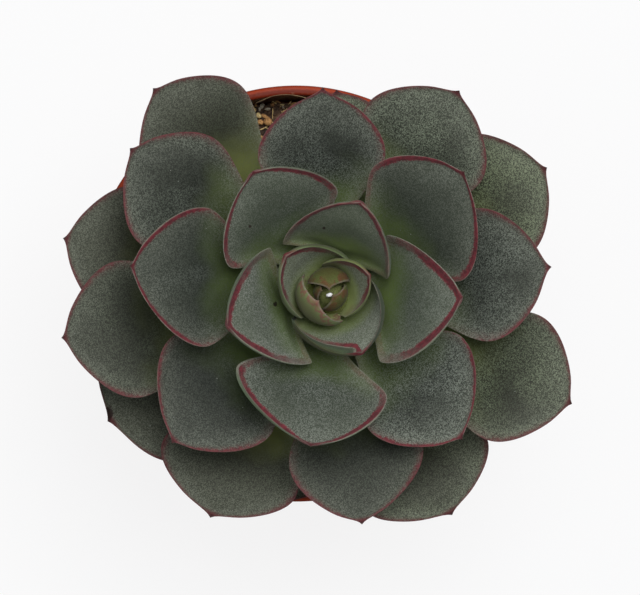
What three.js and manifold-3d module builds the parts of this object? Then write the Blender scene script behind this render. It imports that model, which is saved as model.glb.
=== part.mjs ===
// A potted rosette succulent, Echeveria moranii, in millimetres, +Z up.
// The origin is the centre of the pot's underside. The plant leans a little and stands off the pot's axis.
// Each leaf is its own solid on a short stem; the tight young leaves at the centre are one heart.
// The leaves follow one spiral of golden angles, from the youngest (rank 0) out to the oldest.

import * as THREE from "three";
import { mergeVertices } from "three/addons/utils/BufferGeometryUtils.js";
import Module from "manifold-3d";

const wasm = await Module();
wasm.setup();

const rad = THREE.MathUtils.degToRad;
const CLEARANCE = 0.3; // between pieces that touch

// Pot: a thin-walled round nursery pot with a rolled lip, a collar and notched feet.
const POT_HEIGHT = 74;
const LIP_RADIUS = 42.5;
const LIP_INNER_RADIUS = 40.4;
const LIP_BAND = 3.2; // how far the lip turns down
const COLLAR_RADIUS = 41.3;
const COLLAR_HEIGHT = 12;
const SHOULDER_RADIUS = 39.9; // outer radius just under the collar
const BASE_RADIUS = 29.5;
const WALL = 1.1;
const FLOOR = 1.4;
const POT_SIDES = 72;
const DRAIN_NOTCHES = 6;
const NOTCH = { width: 8, height: 2.2, inner: 17, holeRadius: 2.6, holeAt: 23, holeSides: 20 };

// Potting mix: fills the pot to a little under the collar.
const SOIL_AT_WALL = 63.6;
const SOIL_AT_STEM = 64.4;
const SOIL_RELIEF = 0.45;
const SOIL_SIDES = 60;
const SOIL_RINGS = 7;

// Stem: the line that the leaves spring from. It leans from its foot to the heart.
const HEART = { x: 6.85, y: 0.1, z: 95 };
const LEAN_X = 0.083; // sideways travel for each millimetre of height
const STEM_RADIUS = 5.2;
const STEM_FOOT = 36;
const STEM_SIDES = 16;
const ROOTS = 5;
const ROOT = { reach: 17, drop: 16, radius: 1.5, tipRadius: 0.5, top: 52, sides: 6, steps: 5 };

// Leaves: how each measure changes from the centre of the rosette outwards, by rank.
const LEAF_PITCH = 0.85; // drop of the stem attachment from one leaf to the next older one
const BASE_RISE = { outer: 5, inner: 100, fade: 11.5 }; // degrees above level where a leaf leaves the stem
const TIP_RISE = { outer: 0, inner: 115, fade: 9 }; // degrees above level at its tip
const WRAP = { outer: 16, inner: 110, fade: 6 }; // degrees that half a blade curls up across its width
const SHOULDER = { outer: 0.9, inner: 1.6, fade: 8 }; // distance from tip to widest place, in half widths
const HEART_CORE = [
  [-6.2, 4.9],
  [-3, 5.2],
  [-0.5, 3.4],
  [2.2, 2.2],
  [3.2, 0.8],
]; // height from the heart and radius of the solid middle that its leaves share
const FOOT_WIDTH = 0.26; // where a leaf meets the stem, as a share of the blade's width
const THICKNESS_SHARE = 0.36; // of the half width
const POINT_LENGTH = 1.3; // the small hard point at the tip
const NECK = 0.72; // how far the outline draws in just behind the point
const BLUNTNESS = 0.82; // how full it is between point and shoulders: 1 is a sine, less is rounder
const NARROWING = 0.68; // how soon it narrows from the shoulders to the foot: less is sooner
const FLESH_TAPER = 1.6; // how sharply the flesh thins out to the red margin: 1 is round, 2 an arc
const LEAF_ROWS = 11;
const LEAF_ACROSS = 6;

// A measure that starts at its inner value at rank 0 and fades towards its outer value.
const fading = (law, rank) => law.outer + (law.inner - law.outer) * Math.exp(-rank / law.fade);

// Each leaf as the plant carries it: azimuth anticlockwise from +X and reach of the tip from the
// heart, seen from above, and half width of the blade. Some stand apart from the rule: bow is the
// midrib's sideways bend in millimetres, turn swings the blade about its tip, roll tips it about its
// midrib and lift raises it, in degrees. A few have a longer point. Plump is a share of full flesh.
const leaf = (rank, azimuth, reach, halfWidth, own = {}) => ({
  rank,
  azimuth,
  reach,
  halfWidth,
  bow: 0,
  turn: 0,
  roll: 0,
  lift: 0,
  baseRise: fading(BASE_RISE, rank),
  tipRise: fading(TIP_RISE, rank),
  wrap: fading(WRAP, rank),
  shoulder: fading(SHOULDER, rank),
  point: POINT_LENGTH,
  footWidth: FOOT_WIDTH,
  plump: 1,
  ...own,
});
const YOUNG = { footWidth: 0.8, plump: 0.75 }; // joined at broad feet, and still thin
const HEART_LEAVES = [
  leaf(0, 165, 1.5, 2.6, { length: 6, baseRise: 70, tipRise: 124, wrap: 45, ...YOUNG }),
  leaf(1, 312, 0.5, 3.9, { length: 7.8, baseRise: 58, tipRise: 140, wrap: 50, ...YOUNG }),
  leaf(2, 110, 0.5, 4.8, { length: 10.5, baseRise: 50, tipRise: 158, wrap: 52, ...YOUNG }),
  leaf(3, 216, 2.6, 7.2, { length: 13, baseRise: 44, tipRise: 134, wrap: 60, ...YOUNG }),
  leaf(4, 24, 8.2, 7.8, { length: 15.3, baseRise: 55, tipRise: 76, wrap: 78, ...YOUNG }),
  leaf(5, 140, 11, 10.6, { length: 17, baseRise: 48, tipRise: 72, wrap: 84, ...YOUNG }),
  leaf(6, 297.5, 13, 12.3, { length: 18, baseRise: 45, tipRise: 66, wrap: 80, turn: -9, ...YOUNG }),
];
const LEAVES = [
  leaf(7, 71.2, 18.4, 12.2, { turn: 8, bow: 0.9, wrap: 47, roll: -3 }),
  leaf(8, 197.6, 21, 13.1, { turn: 6, wrap: 40, roll: -2 }),
  leaf(9, 358.3, 25.6, 13.1, { bow: -1.4, shoulder: 1.3, wrap: 30, roll: -2, lift: -1 }),
  leaf(10, 122.3, 28, 13.8, { bow: 0.9, turn: 4, shoulder: 0.88, roll: 2, lift: -2.5 }),
  leaf(11, 262.9, 30, 15.8, { bow: -1.1, turn: -7, shoulder: 0.74, footWidth: 0.22 }),
  leaf(12, 42.1, 35.2, 14.8, { bow: -1.5, turn: -5, shoulder: 0.85, roll: 4, lift: -4 }),
  leaf(13, 172.3, 39.2, 14.1, { bow: 0.5, turn: 4, roll: 5 }),
  leaf(14, 312.1, 38.6, 13.4, { bow: 1.1, roll: 6, lift: -3.5, footWidth: 0.24 }),
  leaf(15, 92, 40.2, 12.9, { bow: 0.4, roll: 2, point: 2 }),
  leaf(16, 223.5, 42.7, 14.1, { bow: -1.2 }),
  leaf(17, 6.7, 43.8, 13.5, { point: 2 }),
  leaf(18, 144.1, 48.6, 13, { bow: 1.2 }),
  leaf(19, 277.9, 46.2, 13.7, { bow: 1.1 }),
  leaf(20, 57.4, 47.6, 13.9, { shoulder: 0.88 }),
  leaf(21, 189.5, 54, 14, { bow: 0.6, footWidth: 0.24 }),
  leaf(22, 335.4, 53, 13.7),
  leaf(23, 130.8, 54, 14.3, { turn: 8, footWidth: 0.22 }),
  leaf(24, 242, 51, 14.7, { bow: -1, turn: 4, shoulder: 0.7 }),
  leaf(25, 30, 50.4, 13.7, { shoulder: 0.85 }),
  leaf(26, 168.4, 54.8, 13.5, { roll: 5 }),
  leaf(27, 298.9, 51.2, 14.5, { bow: -0.4, shoulder: 0.7 }),
  leaf(28, 88, 41.3, 12.5, { turn: 15 }),
  leaf(29, 210, 52, 14.1, { shoulder: 0.55, roll: 3 }),
  leaf(32, 259.5, 43.3, 12.5, { lift: 6.5 }),
];

const COLOURS = {
  pot: 0xb4472f,
  soil: 0x4a3526,
  stem: 0x8a7350,
  young: 0x6f8a5a,
  grown: 0x55695a,
  old: 0x4f5c4a,
};

// Turns vertices and outward triangles into a geometry whose shared vertices are merged.
function geometryOf(vertices, triangles) {
  const geometry = new THREE.BufferGeometry();
  const positions = vertices.flatMap((v) => v.toArray());
  geometry.setAttribute("position", new THREE.Float32BufferAttribute(positions, 3));
  geometry.setIndex(triangles.flat());
  return mergeVertices(geometry, 1e-4);
}

// A geometry as a solid that can be joined and cut.
function solidOf(geometry) {
  const bare = geometry.clone();
  bare.deleteAttribute("normal");
  bare.deleteAttribute("uv");
  const merged = mergeVertices(bare, 1e-4);
  return new wasm.Manifold(
    new wasm.Mesh({
      numProp: 3,
      vertProperties: new Float32Array(merged.attributes.position.array),
      triVerts: new Uint32Array(merged.index.array),
    }),
  );
}

function geometryFrom(solid) {
  const mesh = solid.getMesh();
  const positions = new Float32Array(mesh.numVert * 3);
  for (let i = 0; i < mesh.numVert; i++) {
    const at = i * mesh.numProp;
    positions.set(mesh.vertProperties.subarray(at, at + 3), i * 3);
  }
  const geometry = new THREE.BufferGeometry();
  geometry.setAttribute("position", new THREE.BufferAttribute(positions, 3));
  geometry.setIndex(new THREE.BufferAttribute(mesh.triVerts, 1));
  return geometry;
}

// Skins rings of equal length, first ring to last, and closes the last on a middle point.
function skinned(rings, endPoint) {
  const size = rings[0].length;
  const end = rings.length * size;
  const triangles = [];
  for (let i = 0; i < size; i++) {
    const next = (i + 1) % size;
    triangles.push([end, end - size + i, end - size + next]);
    for (let r = 0; r + 1 < rings.length; r++) {
      const a = r * size;
      const b = a + size;
      triangles.push([a + i, a + next, b + i], [a + next, b + next, b + i]);
    }
  }
  return { vertices: [...rings.flat(), endPoint], triangles, size };
}

// The same with the first ring closed on a middle point too.
function skin(rings, startPoint, endPoint) {
  const { vertices, triangles, size } = skinned(rings, endPoint);
  for (let i = 0; i < size; i++) triangles.push([vertices.length, (i + 1) % size, i]);
  return geometryOf([...vertices, startPoint], triangles);
}

// The same for rings that run out over an upper face and back along a lower one: the first ring is
// closed by stitching the two faces together, so a curled one stays clear of its hollow.
function skinStitched(rings, endPoint) {
  const { vertices, triangles, size } = skinned(rings, endPoint);
  for (let over = 0; over < size / 2; over++) {
    const under = size - over - 1;
    if (over > 0) triangles.push([over, under + 1, under]);
    if (over + 1 < under) triangles.push([over, under, over + 1]);
  }
  return geometryOf(vertices, triangles);
}

const middleOf = (ring) =>
  ring.reduce((sum, v) => sum.add(v), new THREE.Vector3()).divideScalar(ring.length);

const EAST = new THREE.Vector3(1, 0, 0);
const NORTH = new THREE.Vector3(0, 1, 0);
const UPRIGHT = new THREE.Vector3(0, 0, 1);

// A ring of points around a centre, from its first axis towards its second.
function circle(centre, radius, sides, across = EAST, over = NORTH) {
  return Array.from({ length: sides }, (_, i) => {
    const angle = (2 * Math.PI * i) / sides;
    return centre
      .clone()
      .addScaledVector(across, radius * Math.cos(angle))
      .addScaledVector(over, radius * Math.sin(angle));
  });
}

const stemAxis = (z) => new THREE.Vector3(HEART.x + LEAN_X * (z - HEART.z), HEART.y, z);

// The half width of a blade at a distance from its tip: a narrow foot, broad shoulders, then a
// blunt end with a point.
function halfWidthAt(distance, length, { halfWidth, shoulder, point, footWidth }) {
  const widest = Math.min(shoulder * halfWidth, 0.62 * length);
  if (distance < widest) {
    const pinch = 1 - NECK * Math.exp(-((distance / point) ** 2));
    return halfWidth * Math.sin((Math.PI / 2) * (distance / widest)) ** BLUNTNESS * pinch;
  }
  const down = Math.min(1, (distance - widest) / (length - widest));
  const fall = THREE.MathUtils.smootherstep(down ** NARROWING, 0, 1);
  return halfWidth * (1 - (1 - footWidth) * fall);
}

// The fleshy thickness of a blade, most in the middle of its length.
function thicknessAt(share, halfWidth, widthHere, plump) {
  const swell = 0.5 + 0.5 * Math.sin(Math.PI * Math.min(1, share / 0.9));
  const full = plump * THICKNESS_SHARE * halfWidth * swell * (1 - 0.45 * share ** 3);
  return Math.min(full, 0.85 * widthHere + 0.12);
}

// The midrib from the stem to the tip: its elevation turns evenly from the base rise to the tip rise.
function midribOf({ rank, azimuth, reach, bow, lift, baseRise, tipRise, length: ownLength }) {
  const foot = stemAxis(HEART.z - LEAF_PITCH * rank);
  const heading = new THREE.Vector3(Math.cos(rad(azimuth)), Math.sin(rad(azimuth)), 0);
  const tip = new THREE.Vector3(HEART.x, HEART.y, 0).addScaledVector(heading, reach);
  const out = tip.sub(new THREE.Vector3(foot.x, foot.y, 0));
  const away = out.clone().normalize();
  const side = UPRIGHT.clone().cross(away);
  const from = rad(baseRise + lift);
  const turn = rad(tipRise - baseRise);
  const run = (s) => (Math.sin(from + turn * s) - Math.sin(from)) / turn;
  const climb = (s) => (Math.cos(from) - Math.cos(from + turn * s)) / turn;
  const length = ownLength ?? (out.length() - STEM_RADIUS - CLEARANCE) / run(1);
  const start = out.length() - length * run(1);
  const frameAt = (s) => {
    const rise = from + turn * s;
    const along = away.clone().multiplyScalar(Math.cos(rise)).setZ(Math.sin(rise));
    const point = foot
      .clone()
      .addScaledVector(away, start + length * run(s))
      .addScaledVector(side, bow * 6.75 * s * s * (1 - s))
      .add(new THREE.Vector3(0, 0, length * climb(s)));
    return { point, along, side: side.clone(), up: along.clone().cross(side) };
  };
  return { length, frameAt };
}

// A leaf: a blade curled up across its width, flat faced above and rounded and fleshy below.
function leafGeometry(one) {
  const { halfWidth, roll, turn, wrap, plump } = one;
  const { length, frameAt } = midribOf(one);
  const wrapRadius = halfWidth / rad(wrap);
  const rings = [];
  for (let row = 0; row < LEAF_ROWS; row++) {
    const share = 1 - (1 - row / LEAF_ROWS) ** 1.3;
    const { point, along, side, up } = frameAt(share);
    const eased = THREE.MathUtils.smoothstep(share, 0, 0.5);
    side.applyAxisAngle(along, rad(roll) * eased);
    up.applyAxisAngle(along, rad(roll) * eased);
    side.applyAxisAngle(up, rad(turn) * eased);
    const width = halfWidthAt((1 - share) * length, length, one);
    const thick = thicknessAt(share, halfWidth, width, plump);
    // A place on the blade: sideways along its curl, and below its upper face.
    const place = (sideways, below) => {
      const curl = sideways / wrapRadius;
      const radius = wrapRadius + below;
      return point
        .clone()
        .addScaledVector(side, radius * Math.sin(curl))
        .addScaledVector(up, wrapRadius - radius * Math.cos(curl));
    };
    const ring = [];
    for (let i = 0; i <= LEAF_ACROSS; i++) ring.push(place(width * (1 - (2 * i) / LEAF_ACROSS), 0));
    for (let i = 1; i < LEAF_ACROSS; i++) {
      const angle = (Math.PI * i) / LEAF_ACROSS;
      ring.push(place(-width * Math.cos(angle), thick * Math.sin(angle) ** FLESH_TAPER));
    }
    rings.push(ring);
  }
  return skinStitched(rings, frameAt(1).point);
}

// A round solid of revolution from a closed profile of [radius, height] points.
function turned(profile, sides = POT_SIDES) {
  const points = profile.map(([r, z]) => new THREE.Vector2(r, z));
  const geometry = new THREE.LatheGeometry(points, sides);
  geometry.rotateX(Math.PI / 2);
  return geometry;
}

// A box of a size, about a centre, turned about the pot's axis.
function box(size, centre, turn) {
  const geometry = new THREE.BoxGeometry(...size);
  geometry.translate(...centre);
  geometry.rotateZ(turn);
  return solidOf(geometry);
}

// The pot's shell, with the notches and holes that let water out of its floor.
function potSolid() {
  const collarFoot = POT_HEIGHT - COLLAR_HEIGHT;
  const outside = [
    [0, 0],
    [BASE_RADIUS - 1.2, 0],
    [BASE_RADIUS, 1.2],
    [SHOULDER_RADIUS, collarFoot - 0.8],
    [COLLAR_RADIUS, collarFoot],
    [COLLAR_RADIUS + 0.2, POT_HEIGHT - LIP_BAND],
    [LIP_RADIUS - 0.25, POT_HEIGHT - LIP_BAND],
    [LIP_RADIUS, POT_HEIGHT - LIP_BAND + 0.5],
    [LIP_RADIUS, POT_HEIGHT - 0.8],
    [LIP_RADIUS - 0.6, POT_HEIGHT],
  ];
  const inside = [
    [LIP_INNER_RADIUS + 0.4, POT_HEIGHT],
    [LIP_INNER_RADIUS, POT_HEIGHT - 0.5],
    [COLLAR_RADIUS - WALL, collarFoot + 0.4],
    [SHOULDER_RADIUS - WALL, collarFoot - 0.6],
    [BASE_RADIUS - WALL, FLOOR + 0.6],
    [BASE_RADIUS - WALL - 1, FLOOR],
    [0, FLOOR],
  ];
  const shell = solidOf(turned([...outside, ...inside]));
  const filled = solidOf(turned([...outside, [0, POT_HEIGHT]]));
  const roofHeight = NOTCH.height + FLOOR;
  const roofReach = BASE_RADIUS + 1 - NOTCH.inner;
  const roofMiddle = NOTCH.inner + roofReach / 2;
  let pot = shell;
  for (let i = 0; i < DRAIN_NOTCHES; i++) {
    const turn = (2 * Math.PI * i) / DRAIN_NOTCHES;
    const roofAt = [roofMiddle - FLOOR, 0, roofHeight / 2];
    const roof = box([roofReach, NOTCH.width + 2 * FLOOR, roofHeight], roofAt, turn);
    const hollow = box([roofReach + 2, NOTCH.width, NOTCH.height * 2], [roofMiddle + 1, 0, 0], turn);
    const hole = new THREE.CylinderGeometry(
      NOTCH.holeRadius,
      NOTCH.holeRadius,
      3 * roofHeight,
      NOTCH.holeSides,
    );
    hole.rotateX(Math.PI / 2);
    hole.translate(NOTCH.holeAt, 0, roofHeight / 2);
    hole.rotateZ(turn);
    pot = pot.add(roof.intersect(filled)).subtract(hollow).subtract(solidOf(hole));
  }
  return pot;
}

// The top of the mix: highest at the stem, with low bumps.
const soilHeight = (x, y) => {
  const out = Math.min(1, Math.hypot(x - HEART.x, y - HEART.y) / 34);
  const broad = Math.sin(0.42 * x + 0.3 * y) * Math.cos(0.36 * y - 0.2 * x);
  const fine = 0.6 * Math.sin(0.83 * x - 0.57 * y + 1);
  return THREE.MathUtils.lerp(SOIL_AT_STEM, SOIL_AT_WALL, out ** 1.5) + SOIL_RELIEF * (broad + fine);
};

// The mix fills the pot from just over its floor up into the collar, less the cavity that the stem
// and roots take up.
function soilSolid(stemCavity) {
  const ring = (radius, z) =>
    circle(new THREE.Vector3(), radius, SOIL_SIDES).map((v) => v.setZ(z ?? soilHeight(v.x, v.y)));
  const floor = FLOOR + NOTCH.height + CLEARANCE;
  const collarFoot = POT_HEIGHT - COLLAR_HEIGHT;
  const slope = (SHOULDER_RADIUS - BASE_RADIUS) / (collarFoot - 2);
  const inset = WALL + 2 * CLEARANCE;
  const topRadius = COLLAR_RADIUS - inset;
  const rings = [
    ring(BASE_RADIUS - inset + slope * (floor - 2), floor),
    ring(SHOULDER_RADIUS - inset, collarFoot - 1),
    ring(topRadius - 0.2, collarFoot + 1),
  ];
  for (let i = 0; i < SOIL_RINGS; i++) rings.push(ring(topRadius * (1 - i / SOIL_RINGS)));
  const middle = new THREE.Vector3(0, 0, soilHeight(0, 0));
  return solidOf(skin(rings, new THREE.Vector3(0, 0, floor), middle)).subtract(stemCavity);
}

// The stem with its root stock and side roots, everywhere thicker by a margin.
function stemSolid(margin = 0) {
  const levels = [
    [STEM_FOOT, 1.2],
    [ROOT.top - 6, 3.2],
    [ROOT.top, STEM_RADIUS * 0.9],
    [SOIL_AT_STEM + 3, STEM_RADIUS * 0.92],
    [HEART.z - LEAF_PITCH * 26, STEM_RADIUS - 0.1],
    [HEART.z + HEART_CORE[0][0] - CLEARANCE, STEM_RADIUS - 0.2],
  ];
  const rings = levels.map(([z, r]) => circle(stemAxis(z), r + margin, STEM_SIDES));
  const top = stemAxis(levels.at(-1)[0] + margin);
  let stem = solidOf(skin(rings, stemAxis(STEM_FOOT - 1 - margin), top));
  for (let i = 0; i < ROOTS; i++) stem = stem.add(rootSolid(i, margin));
  return stem;
}

// A side root: it leaves the root stock level and bends down as it thins.
function rootSolid(index, margin) {
  const away = new THREE.Vector3(Math.cos(rad(137.5 * index)), Math.sin(rad(137.5 * index)), 0);
  const level = new THREE.Vector3(-away.y, away.x, 0);
  const top = stemAxis(ROOT.top - 2.2 * index);
  const rings = [];
  for (let step = 0; step <= ROOT.steps; step++) {
    const share = step / ROOT.steps;
    const centre = top.clone().addScaledVector(away, 1 + ROOT.reach * share);
    centre.z -= ROOT.drop * share * share;
    const radius = THREE.MathUtils.lerp(ROOT.radius, ROOT.tipRadius, share) + margin;
    rings.push(circle(centre, radius, ROOT.sides, level, UPRIGHT));
  }
  const tip = middleOf(rings.at(-1)).addScaledVector(away, margin + 0.2);
  return solidOf(skin(rings, middleOf(rings[0]), tip));
}

// The young leaves joined on their solid middle, as one body with no hollow shut inside.
function heartSolid() {
  const core = skin(
    HEART_CORE.map(([z, r]) => circle(stemAxis(HEART.z + z), r, STEM_SIDES)),
    stemAxis(HEART.z + HEART_CORE[0][0]),
    stemAxis(HEART.z + HEART_CORE.at(-1)[0] + 0.2),
  );
  const young = HEART_LEAVES.map((one) => solidOf(leafGeometry(one)));
  const joined = young.reduce((all, one) => all.add(one), solidOf(core));
  return joined.decompose().reduce((most, body) => (body.volume() > most.volume() ? body : most));
}

function meshOf(name, geometry, colour, roughness) {
  const material = new THREE.MeshStandardMaterial({ color: colour, roughness, metalness: 0 });
  const mesh = new THREE.Mesh(geometry, material);
  mesh.name = name;
  return mesh;
}

const plant = new THREE.Group();
plant.add(meshOf("pot", geometryFrom(potSolid()), COLOURS.pot, 0.5));
const soil = soilSolid(stemSolid(1.5 * CLEARANCE));
plant.add(meshOf("potting_mix", geometryFrom(soil), COLOURS.soil, 0.95));
plant.add(meshOf("stem_and_roots", geometryFrom(stemSolid()), COLOURS.stem, 0.8));
plant.add(meshOf("heart", geometryFrom(heartSolid()), COLOURS.young, 0.55));
for (const one of LEAVES) {
  const colour = one.rank < 9 ? COLOURS.young : one.rank < 20 ? COLOURS.grown : COLOURS.old;
  plant.add(meshOf(`leaf_${String(one.rank).padStart(2, "0")}`, leafGeometry(one), colour, 0.55));
}

export default plant;
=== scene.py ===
"""A potted rosette succulent, Echeveria moranii: fleshy leaves on one spiral in a round nursery pot.

Sizes are in millimetres in the classes and in metres in the meshes. +Z is up, and the origin is the
centre of the pot's underside.
"""

import logging
import math
from abc import ABC, abstractmethod
from dataclasses import dataclass, field
from enum import Enum
from typing import Any, Sequence, Union

import bpy
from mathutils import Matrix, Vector

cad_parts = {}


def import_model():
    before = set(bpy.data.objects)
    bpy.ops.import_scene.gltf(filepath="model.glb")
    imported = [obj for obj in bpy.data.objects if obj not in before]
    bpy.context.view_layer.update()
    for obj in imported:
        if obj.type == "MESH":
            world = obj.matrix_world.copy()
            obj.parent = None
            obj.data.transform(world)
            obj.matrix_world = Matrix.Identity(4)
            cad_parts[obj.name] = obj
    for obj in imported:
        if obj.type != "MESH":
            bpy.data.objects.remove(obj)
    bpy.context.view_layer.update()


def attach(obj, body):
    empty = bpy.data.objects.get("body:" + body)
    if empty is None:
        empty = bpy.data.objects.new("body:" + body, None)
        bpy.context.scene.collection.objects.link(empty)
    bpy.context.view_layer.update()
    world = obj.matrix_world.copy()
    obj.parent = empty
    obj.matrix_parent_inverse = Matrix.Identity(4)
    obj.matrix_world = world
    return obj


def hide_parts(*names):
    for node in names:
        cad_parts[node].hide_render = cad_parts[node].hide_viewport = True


log = logging.getLogger("potted_rosette")

MM = 0.001
GOLDEN_ANGLE = 137.5
OLDEST_RANK = 32
Number = Union[int, float]
Point = tuple[float, float, float]
Colour = tuple[float, float, float, float]


def paint(red: Number, green: Number, blue: Number) -> Colour:
    """Turns a screen colour into the linear one that shaders take.

    Args:
        red: Red from 0 to 255.
        green: Green from 0 to 255.
        blue: Blue from 0 to 255.

    Returns:
        The linear colour, opaque.
    """
    def linear(value: Number) -> float:
        """One channel, linear from 0 to 1."""
        share = value / 255
        return share / 12.92 if share <= 0.04045 else ((share + 0.055) / 1.055) ** 2.4

    return (linear(red), linear(green), linear(blue), 1.0)


class Signal:
    """A node socket that plain arithmetic is written with, for numbers and for vectors."""

    def __init__(self, bench: "Bench", socket: bpy.types.NodeSocket) -> None:
        """Wraps a socket of the tree that the bench works on."""
        self.bench = bench
        self.socket = socket

    @property
    def is_vector(self) -> bool:
        """Whether the socket carries a vector."""
        return self.socket.type == "VECTOR"

    def _with(self, operation: str, first: Any, second: Any) -> "Signal":
        """Joins two operands by one operation, as vectors if either of them is one.

        Args:
            operation: The operation, as the Math and Vector Math nodes name it.
            first: The left operand.
            second: The right operand.

        Returns:
            The result.
        """
        vectors = [isinstance(v, Signal) and v.is_vector for v in (first, second)]
        if operation == "MULTIPLY" and any(vectors) and not all(vectors):
            whole, factor = (first, second) if vectors[0] else (second, first)
            return self.bench.vector("SCALE", whole, Scale=factor)
        if any(vectors):
            return self.bench.vector(operation, first, second)
        return self.bench.math(operation, first, second)

    def __add__(self, other: Any) -> "Signal":
        """Sum."""
        return self._with("ADD", self, other)

    def __radd__(self, other: Any) -> "Signal":
        """Sum, reflected."""
        return self._with("ADD", other, self)

    def __sub__(self, other: Any) -> "Signal":
        """Difference."""
        return self._with("SUBTRACT", self, other)

    def __rsub__(self, other: Any) -> "Signal":
        """Difference, reflected."""
        return self._with("SUBTRACT", other, self)

    def __mul__(self, other: Any) -> "Signal":
        """Product."""
        return self._with("MULTIPLY", self, other)

    def __rmul__(self, other: Any) -> "Signal":
        """Product, reflected."""
        return self._with("MULTIPLY", other, self)

    def __truediv__(self, other: Any) -> "Signal":
        """Quotient."""
        return self._with("DIVIDE", self, other)

    def __rtruediv__(self, other: Any) -> "Signal":
        """Quotient, reflected."""
        return self._with("DIVIDE", other, self)

    def __pow__(self, other: Any) -> "Signal":
        """Power."""
        return self._with("POWER", self, other)

    def __neg__(self) -> "Signal":
        """Opposite."""
        return self * -1.0

    def __abs__(self) -> "Signal":
        """Size without its sign."""
        return self.bench.math("ABSOLUTE", self)

    def sin(self) -> "Signal":
        """Sine."""
        return self.bench.math("SINE", self)

    def cos(self) -> "Signal":
        """Cosine."""
        return self.bench.math("COSINE", self)

    def exp(self) -> "Signal":
        """Exponential."""
        return self.bench.math("EXPONENT", self)

    def cross(self, other: Any) -> "Signal":
        """Cross product."""
        return self.bench.vector("CROSS_PRODUCT", self, other)


class Bench:
    """Adds nodes to a tree, for a material or for geometry."""

    def __init__(self, tree: bpy.types.NodeTree) -> None:
        """Works on one tree."""
        self.tree = tree

    def node(self, kind: str, settings: dict[str, Any] | None = None, **sockets: Any) -> bpy.types.Node:
        """Adds a node.

        Args:
            kind: The node's type.
            settings: What is set on the node first.
            **sockets: A value or a Signal for each input, by its name with _ for a space, or by its
                place as s0, s1 and so on.

        Returns:
            The node.
        """
        made = self.tree.nodes.new(kind)
        for name, value in (settings or {}).items():
            setattr(made, name, value)
        for name, value in sockets.items():
            by_place = name[0] == "s" and name[1:].isdigit()
            self.feed(made.inputs[int(name[1:]) if by_place else name.replace("_", " ")], value)
        return made

    def feed(self, socket: bpy.types.NodeSocket, value: Any) -> None:
        """Links a Signal or an output to an input, or sets the input's own value.

        Args:
            socket: The input.
            value: What it takes.
        """
        source = value.socket if isinstance(value, Signal) else value
        if isinstance(source, bpy.types.NodeSocket):
            self.tree.links.new(source, socket)
        else:
            socket.default_value = source

    def out(self, made: bpy.types.Node, key: Union[int, str] = 0) -> Signal:
        """An output of a node."""
        return Signal(self, made.outputs[key])

    def get(self, kind: str, settings: dict[str, Any] | None = None, **sockets: Any) -> Signal:
        """Adds a node and gives its first output."""
        return self.out(self.node(kind, settings, **sockets))

    def split(self, vector: Any) -> list[Signal]:
        """The three numbers of a vector."""
        apart = self.node("ShaderNodeSeparateXYZ", Vector=vector)
        return [self.out(apart, axis) for axis in range(3)]

    def math(self, operation: str, *values: Any) -> Signal:
        """A Math node on one to three numbers."""
        sockets = {f"s{i}": value for i, value in enumerate(values)}
        return self.get("ShaderNodeMath", {"operation": operation}, **sockets)

    def vector(self, operation: str, *values: Any, **sockets: Any) -> Signal:
        """A Vector Math node on one or two vectors."""
        sockets.update({f"s{i}": value for i, value in enumerate(values)})
        return self.get("ShaderNodeVectorMath", {"operation": operation}, **sockets)

    def least(self, first: Any, second: Any) -> Signal:
        """The smaller of two numbers."""
        return self.math("MINIMUM", first, second)

    def most(self, first: Any, second: Any) -> Signal:
        """The larger of two numbers."""
        return self.math("MAXIMUM", first, second)

    def choose(self, share: Any, first: Any, second: Any) -> Signal:
        """A number that goes from the first to the second as the share goes from 0 to 1."""
        return self.get("ShaderNodeMix", {"data_type": "FLOAT"}, s0=share, s2=first, s3=second)

    def tint(self, share: Any, first: Any, second: Any) -> Signal:
        """A colour that goes from the first to the second as the share goes from 0 to 1."""
        made = self.node("ShaderNodeMix", {"data_type": "RGBA"}, s0=share, s6=first, s7=second)
        return self.out(made, 2)

    def blend(self, base: Any, *layers: tuple[Any, Any]) -> Signal:
        """A colour with others laid over it in order.

        Args:
            base: The first colour.
            *layers: The share and the colour of each further layer.

        Returns:
            The colour on top.
        """
        for share, colour in layers:
            base = self.tint(share, base, colour)
        return base

    def ease(self, value: Any, start: Any, end: Any) -> Signal:
        """A share that rises smoothly from 0 at the start to 1 at the end."""
        settings = {"interpolation_type": "SMOOTHSTEP"}
        return self.get("ShaderNodeMapRange", settings, s0=value, s1=start, s2=end)

    def band(self, value: Any, start: float, end: float, soft: float) -> Signal:
        """A share that is 1 between two values and fades out over a soft edge beyond them."""
        return self.ease(value, start - soft, start) * self.ease(value, end + soft, end)

    def carried(self, *names: str) -> list[Signal]:
        """Numbers that the piece's mesh carries, for a material."""
        return [self.out(self.node("ShaderNodeAttribute", {"attribute_name": name}), "Fac") for name in names]

    def place(self) -> Signal:
        """The place on the piece in its own coordinates, for a material."""
        return self.out(self.node("ShaderNodeTexCoord"), "Object")

    def noise(self, place: Any, size: float, detail: float = 2.0, rough: float = 0.5) -> Signal:
        """Cloudy noise from 0 to 1 with spots of a size in millimetres."""
        return self.get("ShaderNodeTexNoise", Vector=place, Scale=1 / (size * MM), Detail=detail,
                        Roughness=rough)

    def join(self, **numbers: Any) -> Signal:
        """A vector from its numbers X, Y and Z."""
        return self.get("ShaderNodeCombineXYZ", **numbers)

    def specks(self, place: Any, size: float) -> Signal:
        """A random shade from 0 to 1 for each of many small cells of a size in millimetres."""
        return self.out(self.node("ShaderNodeTexVoronoi", Vector=place, Scale=1 / (size * MM)), "Color")


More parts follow.
